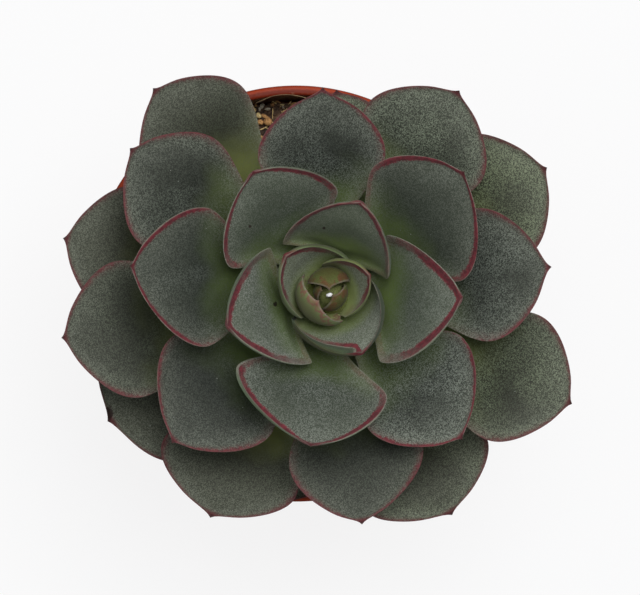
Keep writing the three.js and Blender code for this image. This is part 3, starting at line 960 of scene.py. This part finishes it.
class LeafRule(Rule):
    """The rule that every leaf follows: a blade curled up across its width on a turning midrib.

    Crowding draws the rows together towards the tip. The bow's factor makes its input the furthest that
    the midrib strays, which is two thirds of the way along.
    """

    ROWS = 64
    ROUND = 49
    CROWDING = 1.3
    BOW_FACTOR = 27 / 4
    THICKNESS_SHARE = 0.36
    TAPER = 1.6
    BLUNTNESS = 0.82
    PINCH = 0.72
    WAIST = 0.68
    WELD = 3e-7
    NUMBERS = ("Start", "Length", "Base Rise", "Bend", "Bow", "Roll", "Swing", "Half Width", "Widest",
               "Point", "Foot Width", "Plump", "Wrap Radius", "Age", "Tone", "Hem Left", "Hem Right")

    def __init__(self) -> None:
        """Builds the tree."""
        inlets = {"Foot": "vector", "Away": "vector", "Material": "material"}
        inlets.update({name: "float" for name in self.NUMBERS})
        super().__init__("leaf rule", inlets)
        bench = self.bench
        sheet = bench.get("GeometryNodeMeshGrid", Size_X=1.0, Size_Y=1.0, Vertices_X=self.ROWS,
                          Vertices_Y=self.ROUND)
        lengthwise, crosswise, _ = bench.split(self.here())
        row = (lengthwise + 0.5) * (self.ROWS - 1)
        angle = (crosswise + 0.5) * (2 * math.pi)
        first = bench.math("LESS_THAN", row, 0.5)
        share = 1 - (1 - bench.most(row - 1, 0.0) / (self.ROWS - 2)) ** self.CROWDING

        distance = (1 - share) * self.inlet("Length")
        width = self._half_width(distance)
        sideways = width * angle.cos()
        below = self._flesh(angle, share, width, distance) * (1 - first)
        place = self._place(share, sideways, below)
        lower = bench.math("GREATER_THAN", angle, math.pi + 0.001)
        gap = width - abs(sideways)
        rim = bench.choose(lower, gap, -((gap * gap + below * below) ** 0.5))
        leftward = bench.math("GREATER_THAN", sideways, 0.0)
        hem = bench.choose(leftward, self.inlet("Hem Right"), self.inlet("Hem Left"))
        hem = hem * (0.15 + bench.ease(distance, 13, 5) * 0.85) * bench.ease(distance, 0, 4)
        kept = {"rim": rim, "hem": hem, "along": share, "tip": distance, "across": sideways,
                "age": self.inlet("Age"), "tone": self.inlet("Tone")}
        geometry = sheet
        for name, value in kept.items():
            geometry = self.keep(geometry, name, value)
        self.close(self._unevenness(self.welded(self.moved(geometry, Position=place * MM), self.WELD)))

    def _half_width(self, distance: Signal) -> Signal:
        """The blade's outline: a blunt pointed end, broad shoulders and a narrow foot.

        Args:
            distance: Distance from the tip.

        Returns:
            The half width there.
        """
        bench = self.bench
        half, widest = self.inlet("Half Width"), self.inlet("Widest")
        near = distance / self.inlet("Point")
        pinch = 1 - self.PINCH * (-(near * near)).exp()
        arc = (bench.least(distance / widest, 1.0) * (math.pi / 2)).sin()
        blunt = half * arc ** self.BLUNTNESS * pinch
        down = bench.most((distance - widest) / (self.inlet("Length") - widest), 0.0)
        down = bench.least(down, 1.0) ** self.WAIST
        fall = down * down * down * (down * (down * 6 - 15) + 10)
        body = half * (1 - (1 - self.inlet("Foot Width")) * fall)
        return bench.choose(bench.math("LESS_THAN", distance, widest), body, blunt)

    def _flesh(self, angle: Signal, share: Signal, width: Signal, distance: Signal) -> Signal:
        """How far a place lies below the upper face, going once round the blade's section.

        Args:
            angle: 0 to pi over the upper face and on to twice pi under the lower one.
            share: How far along the blade, from 0 at its foot.
            width: Half width here.
            distance: Distance from the tip.

        Returns:
            The depth, 0 all over the upper face.
        """
        bench = self.bench
        swell = 0.5 + 0.5 * (bench.least(share / 0.9, 1.0) * math.pi).sin()
        full = self.inlet("Plump") * self.inlet("Half Width") * swell * self.THICKNESS_SHARE
        full = full * (1 - 0.45 * share * share * share)
        thick = bench.least(full, 0.85 * width + bench.least(distance * 0.4, 0.12))
        return thick * bench.most(-(angle.sin()), 0.0) ** self.TAPER

    def _place(self, share: Signal, sideways: Signal, below: Signal) -> Signal:
        """Carries a place on the section into space, along the midrib.

        Args:
            share: How far along the blade, from 0 at its foot.
            sideways: Distance from the midrib, measured over the skin, above 0 to the left.
            below: Depth under the upper face.

        Returns:
            The place, in millimetres.
        """
        rise = self.inlet("Base Rise") + self.inlet("Bend") * share
        base, bend, length = self.inlet("Base Rise"), self.inlet("Bend"), self.inlet("Length")
        run = (rise.sin() - base.sin()) / bend
        climb = (base.cos() - rise.cos()) / bend
        away = self.inlet("Away")
        upright = self.bench.join(Z=1.0)
        beside = upright.cross(away)
        spine = self.inlet("Foot") + away * (self.inlet("Start") + length * run)
        spine = spine + beside * (self.inlet("Bow") * self.BOW_FACTOR * share * share * (1 - share))
        spine = spine + upright * (length * climb)
        along = away * rise.cos() + upright * rise.sin()
        over = along.cross(beside)
        eased = self.bench.ease(share, 0.0, 0.5)
        roll, swing = self.inlet("Roll") * eased, self.inlet("Swing") * eased
        side = beside * roll.cos() + over * roll.sin()
        up = over * roll.cos() - beside * roll.sin()
        side = side * swing.cos() - along * swing.sin()
        wrap = self.inlet("Wrap Radius")
        curl = sideways / wrap
        radius = wrap + below
        return spine + side * (radius * curl.sin()) + up * (wrap - radius * curl.cos())

    def _unevenness(self, geometry: Signal) -> Signal:
        """Lets the skin swell and sink a little, as flesh does.

        Args:
            geometry: The smooth leaf.

        Returns:
            The leaf.
        """
        bench = self.bench
        where = self.here()
        swell = bench.noise(where, 7, 1) - 0.5
        dimple = bench.noise(where, 2.2, 1) - 0.5
        rim = self.carried("rim")
        inner = bench.ease(abs(rim), 0.1, 1.6) * 0.65 + 0.35
        shoulder = bench.ease(rim, 0.2, 2.8) - bench.ease(rim, 3.4, 9.5) * 0.9
        height = (swell * 0.5 + dimple * 0.12) * inner + shoulder * self.inlet("Half Width") * 0.045
        return self.moved(geometry, Offset=self.outward() * (height * MM))


class RevolveRule(Rule):
    """Turns a profile round the Z axis, with a fine unevenness of the surface."""

    WELD = 1e-6
    HOLE_SIDES = 28
    HOLE_DEPTH = 20 * MM

    def __init__(self, name: str, cuts: bool = False) -> None:
        """Builds the tree.

        Args:
            name: The tree's name.
            cuts: Whether notches and drain holes are cut into the foot.
        """
        inlets = {"Sides": "int", "Profile": "object", "Material": "material", "Relief": "float"}
        if cuts:
            inlets.update({"Notches": "int", "Notch Size": "vector", "Notch At": "float",
                           "Hole Radius": "float", "Hole At": "float"})
        super().__init__(name, inlets)
        bench = self.bench
        profile = bench.out(bench.node("GeometryNodeObjectInfo", Object=self.inlet("Profile")), "Geometry")
        count = bench.out(bench.node("GeometryNodeAttributeDomainSize", Geometry=profile), "Point Count")
        sheet = bench.get("GeometryNodeMeshGrid", Size_X=1.0, Size_Y=1.0, Vertices_X=count,
                          Vertices_Y=self.inlet("Sides") + 1)
        lengthwise, crosswise, _ = bench.split(self.here())
        row = bench.math("ROUND", (lengthwise + 0.5) * (count - 1))
        angle = (crosswise + 0.5) * (2 * math.pi)
        radius, _, height = bench.split(self._at_row("FLOAT_VECTOR", profile, row, self.here()))
        place = bench.join(X=radius * angle.cos(), Y=radius * angle.sin(), Z=height)
        geometry = self.keep(sheet, "inside", self._at_row("FLOAT", profile, row, self.carried("girth")))
        geometry = self.welded(self.moved(geometry, Position=place), self.WELD)
        if cuts:
            geometry = self._cut(geometry)
        self.close(self._rough(geometry))

    def _at_row(self, kind: str, profile: Signal, row: Signal, value: Signal) -> Signal:
        """A value at the profile's point that a row stands for."""
        return self.bench.get("GeometryNodeSampleIndex", {"data_type": kind, "domain": "POINT"},
                              Geometry=profile, Value=value, Index=row)

    def _rough(self, geometry: Signal) -> Signal:
        """Lets the upward faces rise and fall by the Relief input, in metres.

        Args:
            geometry: The smooth piece.

        Returns:
            The piece.
        """
        bench = self.bench
        bumps = bench.noise(self.here(), 3.2, 3) - 0.5
        up = bench.ease(bench.split(self.outward())[2], 0.3, 0.8)
        return self.moved(geometry, Offset=bench.join(Z=bumps * up * self.inlet("Relief")))

    def _cut(self, geometry: Signal) -> Signal:
        """Cuts the notches and drain holes, evenly spaced round the foot.

        Args:
            geometry: The uncut pot.

        Returns:
            The pot.
        """
        bench = self.bench
        count = self.inlet("Notches")
        notch = bench.get("GeometryNodeMeshCube", Size=self.inlet("Notch Size"))
        hole = bench.get("GeometryNodeMeshCylinder", Vertices=self.HOLE_SIDES,
                         Radius=self.inlet("Hole Radius"), Depth=self.HOLE_DEPTH)
        for shape, reach in ((notch, self.inlet("Notch At")), (hole, self.inlet("Hole At"))):
            spots = bench.get("GeometryNodeMeshLine", Count=count, Offset=(0.0, 0.0, 0.0))
            angle = bench.get("GeometryNodeInputIndex") / count * (2 * math.pi)
            ring = self.moved(spots, Position=bench.join(X=angle.cos() * reach, Y=angle.sin() * reach))
            copies = bench.get("GeometryNodeInstanceOnPoints", Points=ring, Instance=shape,
                               Rotation=bench.join(Z=angle))
            real = bench.get("GeometryNodeRealizeInstances", Geometry=copies)
            geometry = bench.get("GeometryNodeMeshBoolean", {"operation": "DIFFERENCE", "solver": "MANIFOLD"},
                                 Mesh_1=geometry, Mesh_2=real)
        return geometry


class ScatterRule(Rule):
    """Strews crumbs of many shapes over a surface."""

    TILT = 0.5
    TURN = 6.28
    DENTS_PER_METRE = 900.0
    DENT = 0.7 * MM
    RISE = 0.25 * MM

    def __init__(self) -> None:
        """Builds the tree."""
        super().__init__("scatter rule", {
            "Density": "float", "Smallest": "vector", "Largest": "vector", "Seed": "int", "Facets": "int",
            "Material": "material"})
        bench = self.bench
        seed = self.inlet("Seed")
        spots = bench.get("GeometryNodeDistributePointsOnFaces", Mesh=self.inlet("Geometry"),
                          Density=self.inlet("Density"), Seed=seed)
        ball = bench.get("GeometryNodeMeshIcoSphere", Radius=1.0, Subdivisions=self.inlet("Facets"))
        size = bench.get("FunctionNodeRandomValue", {"data_type": "FLOAT_VECTOR"},
                         Min=self.inlet("Smallest"), Max=self.inlet("Largest"), Seed=seed)
        spin = bench.get("FunctionNodeRandomValue", {"data_type": "FLOAT_VECTOR"},
                         Min=(-self.TILT, -self.TILT, 0.0), Max=(self.TILT, self.TILT, self.TURN),
                         Seed=seed + 1)
        copies = bench.get("GeometryNodeInstanceOnPoints", Points=spots, Instance=ball, Rotation=spin,
                           Scale=size)
        real = bench.get("GeometryNodeRealizeInstances", Geometry=copies)
        cloud = bench.node("ShaderNodeTexNoise", Vector=self.here(), Scale=self.DENTS_PER_METRE, Detail=2.0)
        dents = bench.vector("SUBTRACT", bench.out(cloud, "Color"), (0.5, 0.5, 0.5))
        raised = dents * self.DENT + Vector((0, 0, self.RISE))
        self.close(self.moved(real, Offset=raised), smooth=False)


class TubeRule(Rule):
    """Skins a line that carries its own girth, with a knobbly surface."""

    WELD = 1e-7

    def __init__(self) -> None:
        """Builds the tree."""
        super().__init__("tube rule", {
            "Sides": "int", "Step": "float", "Knobs": "float", "Knob Size": "float", "Material": "material"})
        bench = self.bench
        line = bench.get("GeometryNodeMeshToCurve", Mesh=self.inlet("Geometry"))
        eased = bench.get("GeometryNodeCurveSplineType", {"spline_type": "CATMULL_ROM"}, Curve=line)
        smooth = bench.get("GeometryNodeResampleCurve", {"mode": "LENGTH"}, Curve=eased,
                           Length=self.inlet("Step"))
        circle = bench.get("GeometryNodeCurvePrimitiveCircle", Resolution=self.inlet("Sides"), Radius=1.0)
        skin = bench.get("GeometryNodeCurveToMesh", Curve=smooth, Profile_Curve=circle,
                         Scale=self.carried("girth"), Fill_Caps=True)
        knobs = bench.get("ShaderNodeTexNoise", Vector=self.here(), Scale=1 / self.inlet("Knob Size"),
                          Detail=2.0) - 0.5
        self.close(self.moved(self.welded(skin, self.WELD),
                              Offset=self.outward() * (knobs * self.inlet("Knobs"))))


@dataclass
class Rosette:
    """The heart and the leaves round it.

    The core fills the heart's middle: heights over the stem line's top with a radius each, in
    millimetres. Its marks are the numbers that its skin carries.
    """

    axis: Axis = field(default_factory=Axis)
    skin: LeafSkin = field(default_factory=LeafSkin)
    young: Sequence[Blade] = (
        Blade(0, 165, 1.5, 2.6, 6, base_rise=70, tip_rise=124, wrap=45, foot_width=0.8, plump=0.75),
        Blade(1, 312, 0.5, 3.9, 7.8, base_rise=58, tip_rise=140, wrap=50, foot_width=0.8, plump=0.75),
        Blade(2, 110, 0.5, 4.8, 10.5, base_rise=50, tip_rise=158, wrap=52, foot_width=0.8, plump=0.75),
        Blade(3, 216, 2.6, 7.2, 13, base_rise=44, tip_rise=134, wrap=60, foot_width=0.8, plump=0.75),
        Blade(4, 24, 8.2, 7.8, 15.3, base_rise=55, tip_rise=76, wrap=78, foot_width=0.8, plump=0.75,
              hem=(0.7, 0.7), tone=0.3),
        Blade(5, 140, 11, 10.6, 17, base_rise=48, tip_rise=72, wrap=84, foot_width=0.8, plump=0.75,
              hem=(0.9, 1.7), tone=0.34),
        Blade(6, 297.5, 13, 12.3, 18, turn=-9, base_rise=45, tip_rise=66, wrap=80, foot_width=0.8, plump=0.75,
              hem=(0.3, 6.2), tone=0.3),
    )
    # Each tone also paints its leaf lighter or darker for how it is lit.
    grown: Sequence[Blade] = (
        Blade(7, 71.2, 18.4, 12.2, turn=8, bow=0.9, wrap=47, roll=-3, tone=-0.34, hem=(0.0, 0.3)),
        Blade(8, 197.6, 21, 13.1, turn=6, wrap=40, roll=-2, tone=0.12, hem=(0.5, 1.1)),
        Blade(9, 358.3, 25.6, 13.1, bow=-1.4, shoulder=1.3, wrap=30, roll=-2, lift=-1, tone=-0.1,
              hem=(0.1, 0.5)),
        Blade(10, 122.3, 28, 13.8, bow=0.9, turn=4, shoulder=0.88, roll=2, lift=-2.5, tone=-0.22,
              hem=(0.4, 0.6)),
        Blade(11, 262.9, 30, 15.8, bow=-1.1, turn=-7, shoulder=0.74, foot_width=0.22, hem=(0.5, 2.3)),
        Blade(12, 42.1, 35.2, 14.8, bow=-1.5, turn=-5, shoulder=0.85, roll=4, lift=-4, tone=-0.26),
        Blade(13, 172.3, 39.2, 14.1, bow=0.5, turn=4, roll=5, tone=-0.24, hem=(0.2, 0.3)),
        Blade(14, 312.1, 38.6, 13.4, bow=1.1, roll=6, lift=-3.5, foot_width=0.24, tone=0.34),
        Blade(15, 92, 40.2, 12.9, bow=0.4, roll=2, point=2, tone=-0.02),
        Blade(16, 223.5, 42.7, 14.1, bow=-1.2, tone=-0.24, hem=(0.1, 0.2)),
        Blade(17, 6.7, 43.8, 13.5, point=2, tone=0.05, hem=(0.2, 0.2)),
        Blade(18, 144.1, 48.6, 13, bow=1.2, tone=-0.03),
        Blade(19, 277.9, 46.2, 13.7, bow=1.1, tone=-0.55),
        Blade(20, 57.4, 47.6, 13.9, shoulder=0.88, tone=0.26),
        Blade(21, 189.5, 54, 14, bow=0.6, foot_width=0.24, tone=-0.2),
        Blade(22, 335.4, 53, 13.7, tone=0.14),
        Blade(23, 130.8, 54, 14.3, turn=8, foot_width=0.22, tone=-0.36),
        Blade(24, 242, 51, 14.7, bow=-1, turn=4, shoulder=0.7, tone=-0.4),
        Blade(25, 30, 50.4, 13.7, shoulder=0.85, tone=0.44),
        Blade(26, 168.4, 54.8, 13.5, roll=5, tone=-0.3),
        Blade(27, 298.9, 51.2, 14.5, bow=-0.4, shoulder=0.7, tone=-0.04),
        Blade(28, 88, 41.3, 12.5, turn=15, tone=0.7),
        Blade(29, 210, 52, 14.1, shoulder=0.55, roll=3, tone=-0.42),
        Blade(32, 259.5, 43.3, 12.5, lift=6.5),
    )
    core: Sequence[tuple[float, float]] = ((-6.2, 4.9), (-3, 5.2), (-0.5, 3.4), (2.2, 2.2), (3.2, 0.8))
    core_marks: Sequence[tuple[str, float]] = (("rim", 4.0), ("along", 0.1), ("tip", 30.0), ("across", 20.0))

    def _leaf(self, rule: LeafRule, blade: Blade, name: str) -> bpy.types.Object:
        """One leaf's finished object."""
        return rule.make(name, Material=self.skin.material(), **blade.settings(self.axis))

    def build(self, tube: TubeRule) -> list[bpy.types.Object]:
        """Builds the heart and every grown leaf.

        Args:
            tube: The rule for the solid middle of the heart.

        Returns:
            The pieces.
        """
        rule = LeafRule()
        parts = [self._leaf(rule, blade, f"young_{blade.rank}") for blade in self.young]
        heights = [z for z, _ in self.core]
        spine = polyline("core", [self.axis.at(self.axis.z + z) for z in heights], [r for _, r in self.core])
        core = tube.make("core", spine, Sides=32, Step=0.5 * MM, Knobs=0.1 * MM, Knob_Size=2 * MM,
                         Material=self.skin.material())
        for name, value in self.core_marks:
            kept = core.data.attributes.new(name, "FLOAT", "POINT")
            kept.data.foreach_set("value", [value] * len(core.data.vertices))
        parts.append(core)
        heart = joined("heart_young_leaves", parts)
        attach(heart, "root")
        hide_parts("heart")
        pieces = [heart]
        for blade in self.grown:
            leaf = self._leaf(rule, blade, f"blade_{blade.rank:02d}")
            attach(leaf, "root")
            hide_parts(blade.name)
            pieces.append(leaf)
        return pieces


@dataclass
class Pot:
    """A thin-walled round nursery pot with a rolled lip, a collar and a notched foot."""

    height: float = 74.0
    lip_radius: float = 42.5
    lip_inner: float = 40.4
    lip_band: float = 3.2
    collar_radius: float = 41.3
    collar_height: float = 12.0
    shoulder_radius: float = 39.9
    base_radius: float = 29.5
    wall: float = 1.1
    floor: float = 3.6
    sides: int = 288
    notches: int = 6
    notch_size: Point = (13.5, 8.0, 4.4)
    notch_at: float = 24.75
    hole_radius: float = 2.6
    hole_at: float = 23.0
    rounding_steps: int = 6
    sharp_angle: float = 40.0
    finish: MouldedPlastic = field(default_factory=MouldedPlastic)

    def _corners(self) -> list[tuple[float, float, float, float]]:
        """The section's corners, from the middle of the underside up and in to the floor.

        Returns:
            Radius, height and rounding of each one, and 1 where it faces inwards.
        """
        foot = self.height - self.collar_height
        lip, top, inner = self.lip_radius, self.height, self.wall
        return [
            (0, 0, 0, 0),
            (self.base_radius - 0.6, 0, 0.7, 0),
            (self.base_radius, 0.6, 0.7, 0),
            (self.shoulder_radius, foot - 0.8, 0.5, 0),
            (self.collar_radius, foot, 0.4, 0),
            (self.collar_radius + 0.2, top - self.lip_band, 0.25, 0),
            (lip - 0.1, top - self.lip_band, 0.3, 0),
            (lip, top, 0.75, 0),
            (self.lip_inner + 0.1, top, 0.55, 0),
            (self.lip_inner - 0.05, top - 1.6, 0.5, 1),
            (self.collar_radius - inner, foot + 0.4, 0.4, 1),
            (self.shoulder_radius - inner, foot - 0.6, 0.4, 1),
            (self.base_radius - inner, self.floor + 0.4, 1.5, 1),
            (self.base_radius - inner - 3, self.floor, 0.5, 1),
            (0, self.floor, 0, 1),
        ]

    def _profile(self) -> bpy.types.Mesh:
        """Rounds the section's corners.

        Returns:
            A line to turn round the axis.
        """
        corners = self._corners()
        points: list[Point] = []
        inward: list[float] = []
        for i, (r, z, rounding, side) in enumerate(corners):
            if not rounding:
                points.append((r, 0, z))
                inward.append(side / MM)
                continue
            here = Vector((r, z))
            before = Vector(corners[i - 1][:2]) - here
            after = Vector(corners[i + 1][:2]) - here
            cut = min(rounding, before.length * 0.45, after.length * 0.45)
            start, end = before.normalized() * cut, after.normalized() * cut
            for step in range(self.rounding_steps + 1):
                t = step / self.rounding_steps
                spot = here + start * (1 - t) ** 2 + end * t ** 2
                points.append((spot.x, 0, spot.y))
                inward.append(side / MM)
        return polyline("pot_profile", points, inward)

    def build(self) -> bpy.types.Object:
        """Builds the pot.

        Returns:
            The piece.
        """
        outline = placed("pot_profile", self._profile())
        rule = RevolveRule("pot rule", cuts=True)
        pot = rule.make(
            "nursery_pot", Sides=self.sides, Profile=outline, Relief=0.0, Notches=self.notches,
            Notch_Size=Vector(self.notch_size) * MM, Notch_At=self.notch_at * MM,
            Hole_Radius=self.hole_radius * MM, Hole_At=self.hole_at * MM, Material=self.finish.material())
        bpy.data.objects.remove(outline)
        pot.data.set_sharp_from_angle(angle=math.radians(self.sharp_angle))
        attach(pot, "root")
        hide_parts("pot")
        return pot


@dataclass
class PottingMix:
    """Peat with bark, pumice and straw, filling the pot into its collar.

    Crumbs are strewn, each kind with its number per square metre, its smallest and largest half sizes,
    its seed and how finely it is faceted. Bits lie at chosen places, from one end to the other.
    """

    floor: float = 3.95
    at_wall: float = 63.6
    at_stem: float = 64.3
    shoulder: float = 62.0
    top_radius: float = 39.6
    foot_radius: float = 28.4
    relief: float = 1.5
    step_in: float = 1.4
    dishing: float = 1.5
    rings: int = 28
    sides: int = 180
    crumbs: Sequence[tuple[Stuff, float, Point, Point, int, int]] = (
        (Stuff.PEAT, 520000, (0.35, 0.3, 0.2), (0.9, 0.7, 0.6), 11, 1),
        (Stuff.BARK, 170000, (0.4, 0.3, 0.2), (1.3, 0.8, 0.5), 12, 2),
        (Stuff.STRAW, 180000, (0.6, 0.1, 0.1), (2.0, 0.22, 0.2), 13, 1),
        (Stuff.PUMICE, 60000, (0.3, 0.3, 0.3), (0.7, 0.6, 0.5), 14, 2),
    )
    bits: Sequence[tuple[Stuff, Point, Point, float]] = (
        (Stuff.BARK, (-6.4, 36.4, 65.1), (-5.4, 34.8, 65.1), 0.85),
        (Stuff.STRAW, (-8.2, 37.4, 65.0), (-7.3, 36.3, 65.2), 0.55),
        (Stuff.BARK, (-7.9, 35.9, 64.9), (-6.9, 35.1, 64.9), 0.6),
        (Stuff.PUMICE, (-6.6, 38.1, 65.0), (-5.3, 38.2, 65.0), 0.36),
        (Stuff.PUMICE, (-3.0, 38.5, 65.0), (-2.4, 38.6, 65.0), 0.28),
        (Stuff.STRAW, (-3.0, 37.6, 65.2), (-0.9, 38.3, 65.4), 0.22),
        (Stuff.STRAW, (-4.9, 38.3, 65.3), (-4.9, 36.2, 65.3), 0.13),
    )

    def _profile(self) -> bpy.types.Mesh:
        """Draws the section of the mix, from its floor up and in to the middle.

        Returns:
            A line to turn round the axis.
        """
        points: list[Point] = [(0, 0, self.floor), (self.foot_radius, 0, self.floor),
                               (self.top_radius - self.step_in, 0, self.shoulder - 1)]
        for i in range(self.rings + 1):
            share = 1 - i / self.rings
            z = self.at_stem + (self.at_wall - self.at_stem) * share ** self.dishing
            points.append((self.top_radius * share, 0, z))
        return polyline("mix_profile", points, [0.0] * len(points))

    def build(self, tube: TubeRule) -> bpy.types.Object:
        """Builds the mix with its crumbs.

        Args:
            tube: The rule that skins a line.

        Returns:
            The piece.
        """
        outline = placed("mix_profile", self._profile())
        bed = RevolveRule("mix rule").make(
            "bed", Sides=self.sides, Profile=outline, Relief=self.relief * MM,
            Material=Stuff.PEAT.value.material())
        bpy.data.objects.remove(outline)
        top = [tuple(face.vertices) for face in bed.data.polygons if face.center.z > (self.at_wall - 2) * MM]
        surface = bpy.data.meshes.new("top")
        surface.from_pydata([corner.co for corner in bed.data.vertices], [], top)
        rule = ScatterRule()
        parts = [bed]
        for kind, density, smallest, largest, seed, facets in self.crumbs:
            parts.append(rule.make(
                f"crumbs_{seed}", surface, Density=density, Smallest=Vector(smallest) * MM,
                Largest=Vector(largest) * MM, Seed=seed, Facets=facets, Material=kind.value.material()))
        for number, (kind, start, end, girth) in enumerate(self.bits):
            parts.append(tube.make(f"bit_{number}", lump(start, end, girth), Sides=10, Step=0.12 * MM,
                                   Knobs=0.5 * MM, Knob_Size=1 * MM, Material=kind.value.material()))
        mix = joined("planting_mix", parts)
        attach(mix, "root")
        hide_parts("potting_mix")
        return mix


@dataclass
class Stem:
    """The short corky stem with its root stock and side roots."""

    axis: Axis = field(default_factory=Axis)
    girths: Sequence[tuple[float, float]] = (
        (35, 0.4), (40, 1.9), (46, 3.2), (52, 4.6), (60, 4.75), (68, 4.8), (74, 5.05), (88.4, 4.9))
    roots: int = 5
    root_reach: float = 17.0
    root_drop: float = 16.0
    root_top: float = 52.0
    root_spacing: float = 2.2
    root_girth: float = 1.5
    root_steps: int = 10

    def build(self, tube: TubeRule) -> bpy.types.Object:
        """Builds the stem and its roots.

        Args:
            tube: The rule that skins a line.

        Returns:
            The piece.
        """
        bark = Stuff.CORK.value.material()
        spine = polyline("stem_line", [self.axis.at(z) for z, _ in self.girths], [r for _, r in self.girths])
        parts = [tube.make("stem", spine, Sides=48, Step=0.5 * MM, Knobs=0.5 * MM, Knob_Size=2.4 * MM,
                           Material=bark)]
        for i in range(self.roots):
            angle = math.radians(GOLDEN_ANGLE * i)
            away = Vector((math.cos(angle), math.sin(angle), 0))
            top = self.axis.at(self.root_top - self.root_spacing * i)
            shares = [step / self.root_steps for step in range(self.root_steps + 1)]
            drops = [Vector((0, 0, self.root_drop * share ** 2)) for share in shares]
            points = [top + away * (1 + self.root_reach * share) - drop for share, drop in zip(shares, drops)]
            line = polyline(f"root_line_{i}", points, [self.root_girth - share for share in shares])
            parts.append(tube.make(f"root_{i}", line, Sides=16, Step=0.5 * MM, Knobs=0.3 * MM,
                                   Knob_Size=1.2 * MM, Material=bark))
        stem = joined("stem_and_side_roots", parts)
        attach(stem, "root")
        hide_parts("stem_and_roots")
        return stem


@dataclass
class Strays:
    """Small things that show: a loose dry fibre on the lip, and a pure white lump that paints the glint in
    the heart's pit.
    """

    fibre: Sequence[Point] = (
        (-8.2, 38.9, 72.9), (-7.0, 39.4, 73.6), (-4.5, 40.3, 74.0), (-1.4, 40.55, 74.0), (2.0, 39.9, 73.8),
        (4.6, 38.8, 73.2))
    fibre_radius: float = 0.07
    # Ends and girth of the white lump that paints the glint in the heart.
    glint_lump: tuple[Point, Point, float] = ((6.1, -0.45, 99.6), (7.4, -0.15, 99.6), 0.42)

    def build(self, tube: TubeRule) -> list[bpy.types.Object]:
        """Builds the loose things.

        Args:
            tube: The rule that skins a line.

        Returns:
            The pieces.
        """
        line = polyline("fibre_line", self.fibre, [self.fibre_radius] * len(self.fibre))
        fibre = tube.make("dry_fibre", line, Sides=8, Step=0.3 * MM, Knobs=0.05 * MM, Knob_Size=0.8 * MM,
                          Material=Stuff.CORK.value.material())
        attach(fibre, "root")
        # Painted highlight: a pure white lump gives the glint in the heart's pit.
        glint_lump = tube.make("white_crumb", lump(*self.glint_lump), Sides=14, Step=0.08 * MM, Knobs=0.15 * MM,
                          Knob_Size=0.6 * MM, Material=Stuff.GLINT.value.material())
        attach(glint_lump, "root")
        return [fibre, glint_lump]


@dataclass
class Studio:
    """The pale floor, the soft light and the camera straight above."""

    camera_at: Point = (4.9, -0.8, 674.0)
    lens: float = 165.54
    sensor: float = 36.0
    floor_size: float = 6000.0
    sky: float = 0.32
    sky_colour: Colour = (0.94, 0.97, 1.0, 1.0)
    aim: Point = (5.0, 0.0, 85.0)
    lamps: Sequence[tuple[str, Point, float, float]] = (
        ("key", (170, 280, 1000), 520, 7.2), ("fill", (-450, 60, 1100), 1200, 2.6))

    def build(self) -> None:
        """Builds everything that isn't the object."""
        half = self.floor_size / 2 * MM
        corners = [(-half, -half, 0), (half, -half, 0), (half, half, 0), (-half, half, 0)]
        mesh = bpy.data.meshes.new("floor")
        mesh.from_pydata(corners, [], [(0, 1, 2, 3)])
        mesh.materials.append(PaleFloor().material())
        placed("floor", mesh)
        self._camera()
        for lamp in self.lamps:
            self._lamp(*lamp)
        world = bpy.data.worlds.new("studio")
        world.use_nodes = True
        back = world.node_tree.nodes["Background"].inputs
        back["Color"].default_value = self.sky_colour
        back["Strength"].default_value = self.sky
        scene = bpy.context.scene
        scene.world = world
        scene.view_settings.view_transform = "Standard"

    def _camera(self) -> None:
        """Puts the camera above the rosette, looking straight down."""
        eye = bpy.data.cameras.new("eye")
        eye.lens = self.lens
        eye.sensor_width = self.sensor
        eye.clip_start = 0.01
        made = bpy.data.objects.new("eye", eye)
        made.location = Vector(self.camera_at) * MM
        bpy.context.scene.collection.objects.link(made)
        bpy.context.scene.camera = made

    def _lamp(self, name: str, place: Point, size: float, power: float) -> None:
        """A square soft light that faces the rosette.

        Args:
            name: The lamp's name.
            place: Where it hangs, in millimetres.
            size: Its side, in millimetres.
            power: Its power in watts.
        """
        light = bpy.data.lights.new(name, "AREA")
        light.size = size * MM
        light.energy = power
        made = bpy.data.objects.new(name, light)
        made.location = Vector(place) * MM
        towards = Vector(self.aim) * MM - made.location
        made.rotation_euler = towards.to_track_quat("-Z", "Y").to_euler()
        bpy.context.scene.collection.objects.link(made)


def main() -> None:
    """Builds the plant, its pot and the studio in order."""
    logging.basicConfig(level=logging.INFO, format="%(name)s: %(message)s")
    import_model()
    tube = TubeRule()
    pieces = [Pot().build(), PottingMix().build(tube), Stem().build(tube)]
    pieces += Rosette().build(tube)
    pieces += Strays().build(tube)
    for piece in pieces:
        report(piece)
    Studio().build()


if __name__ == "__main__":
    main()
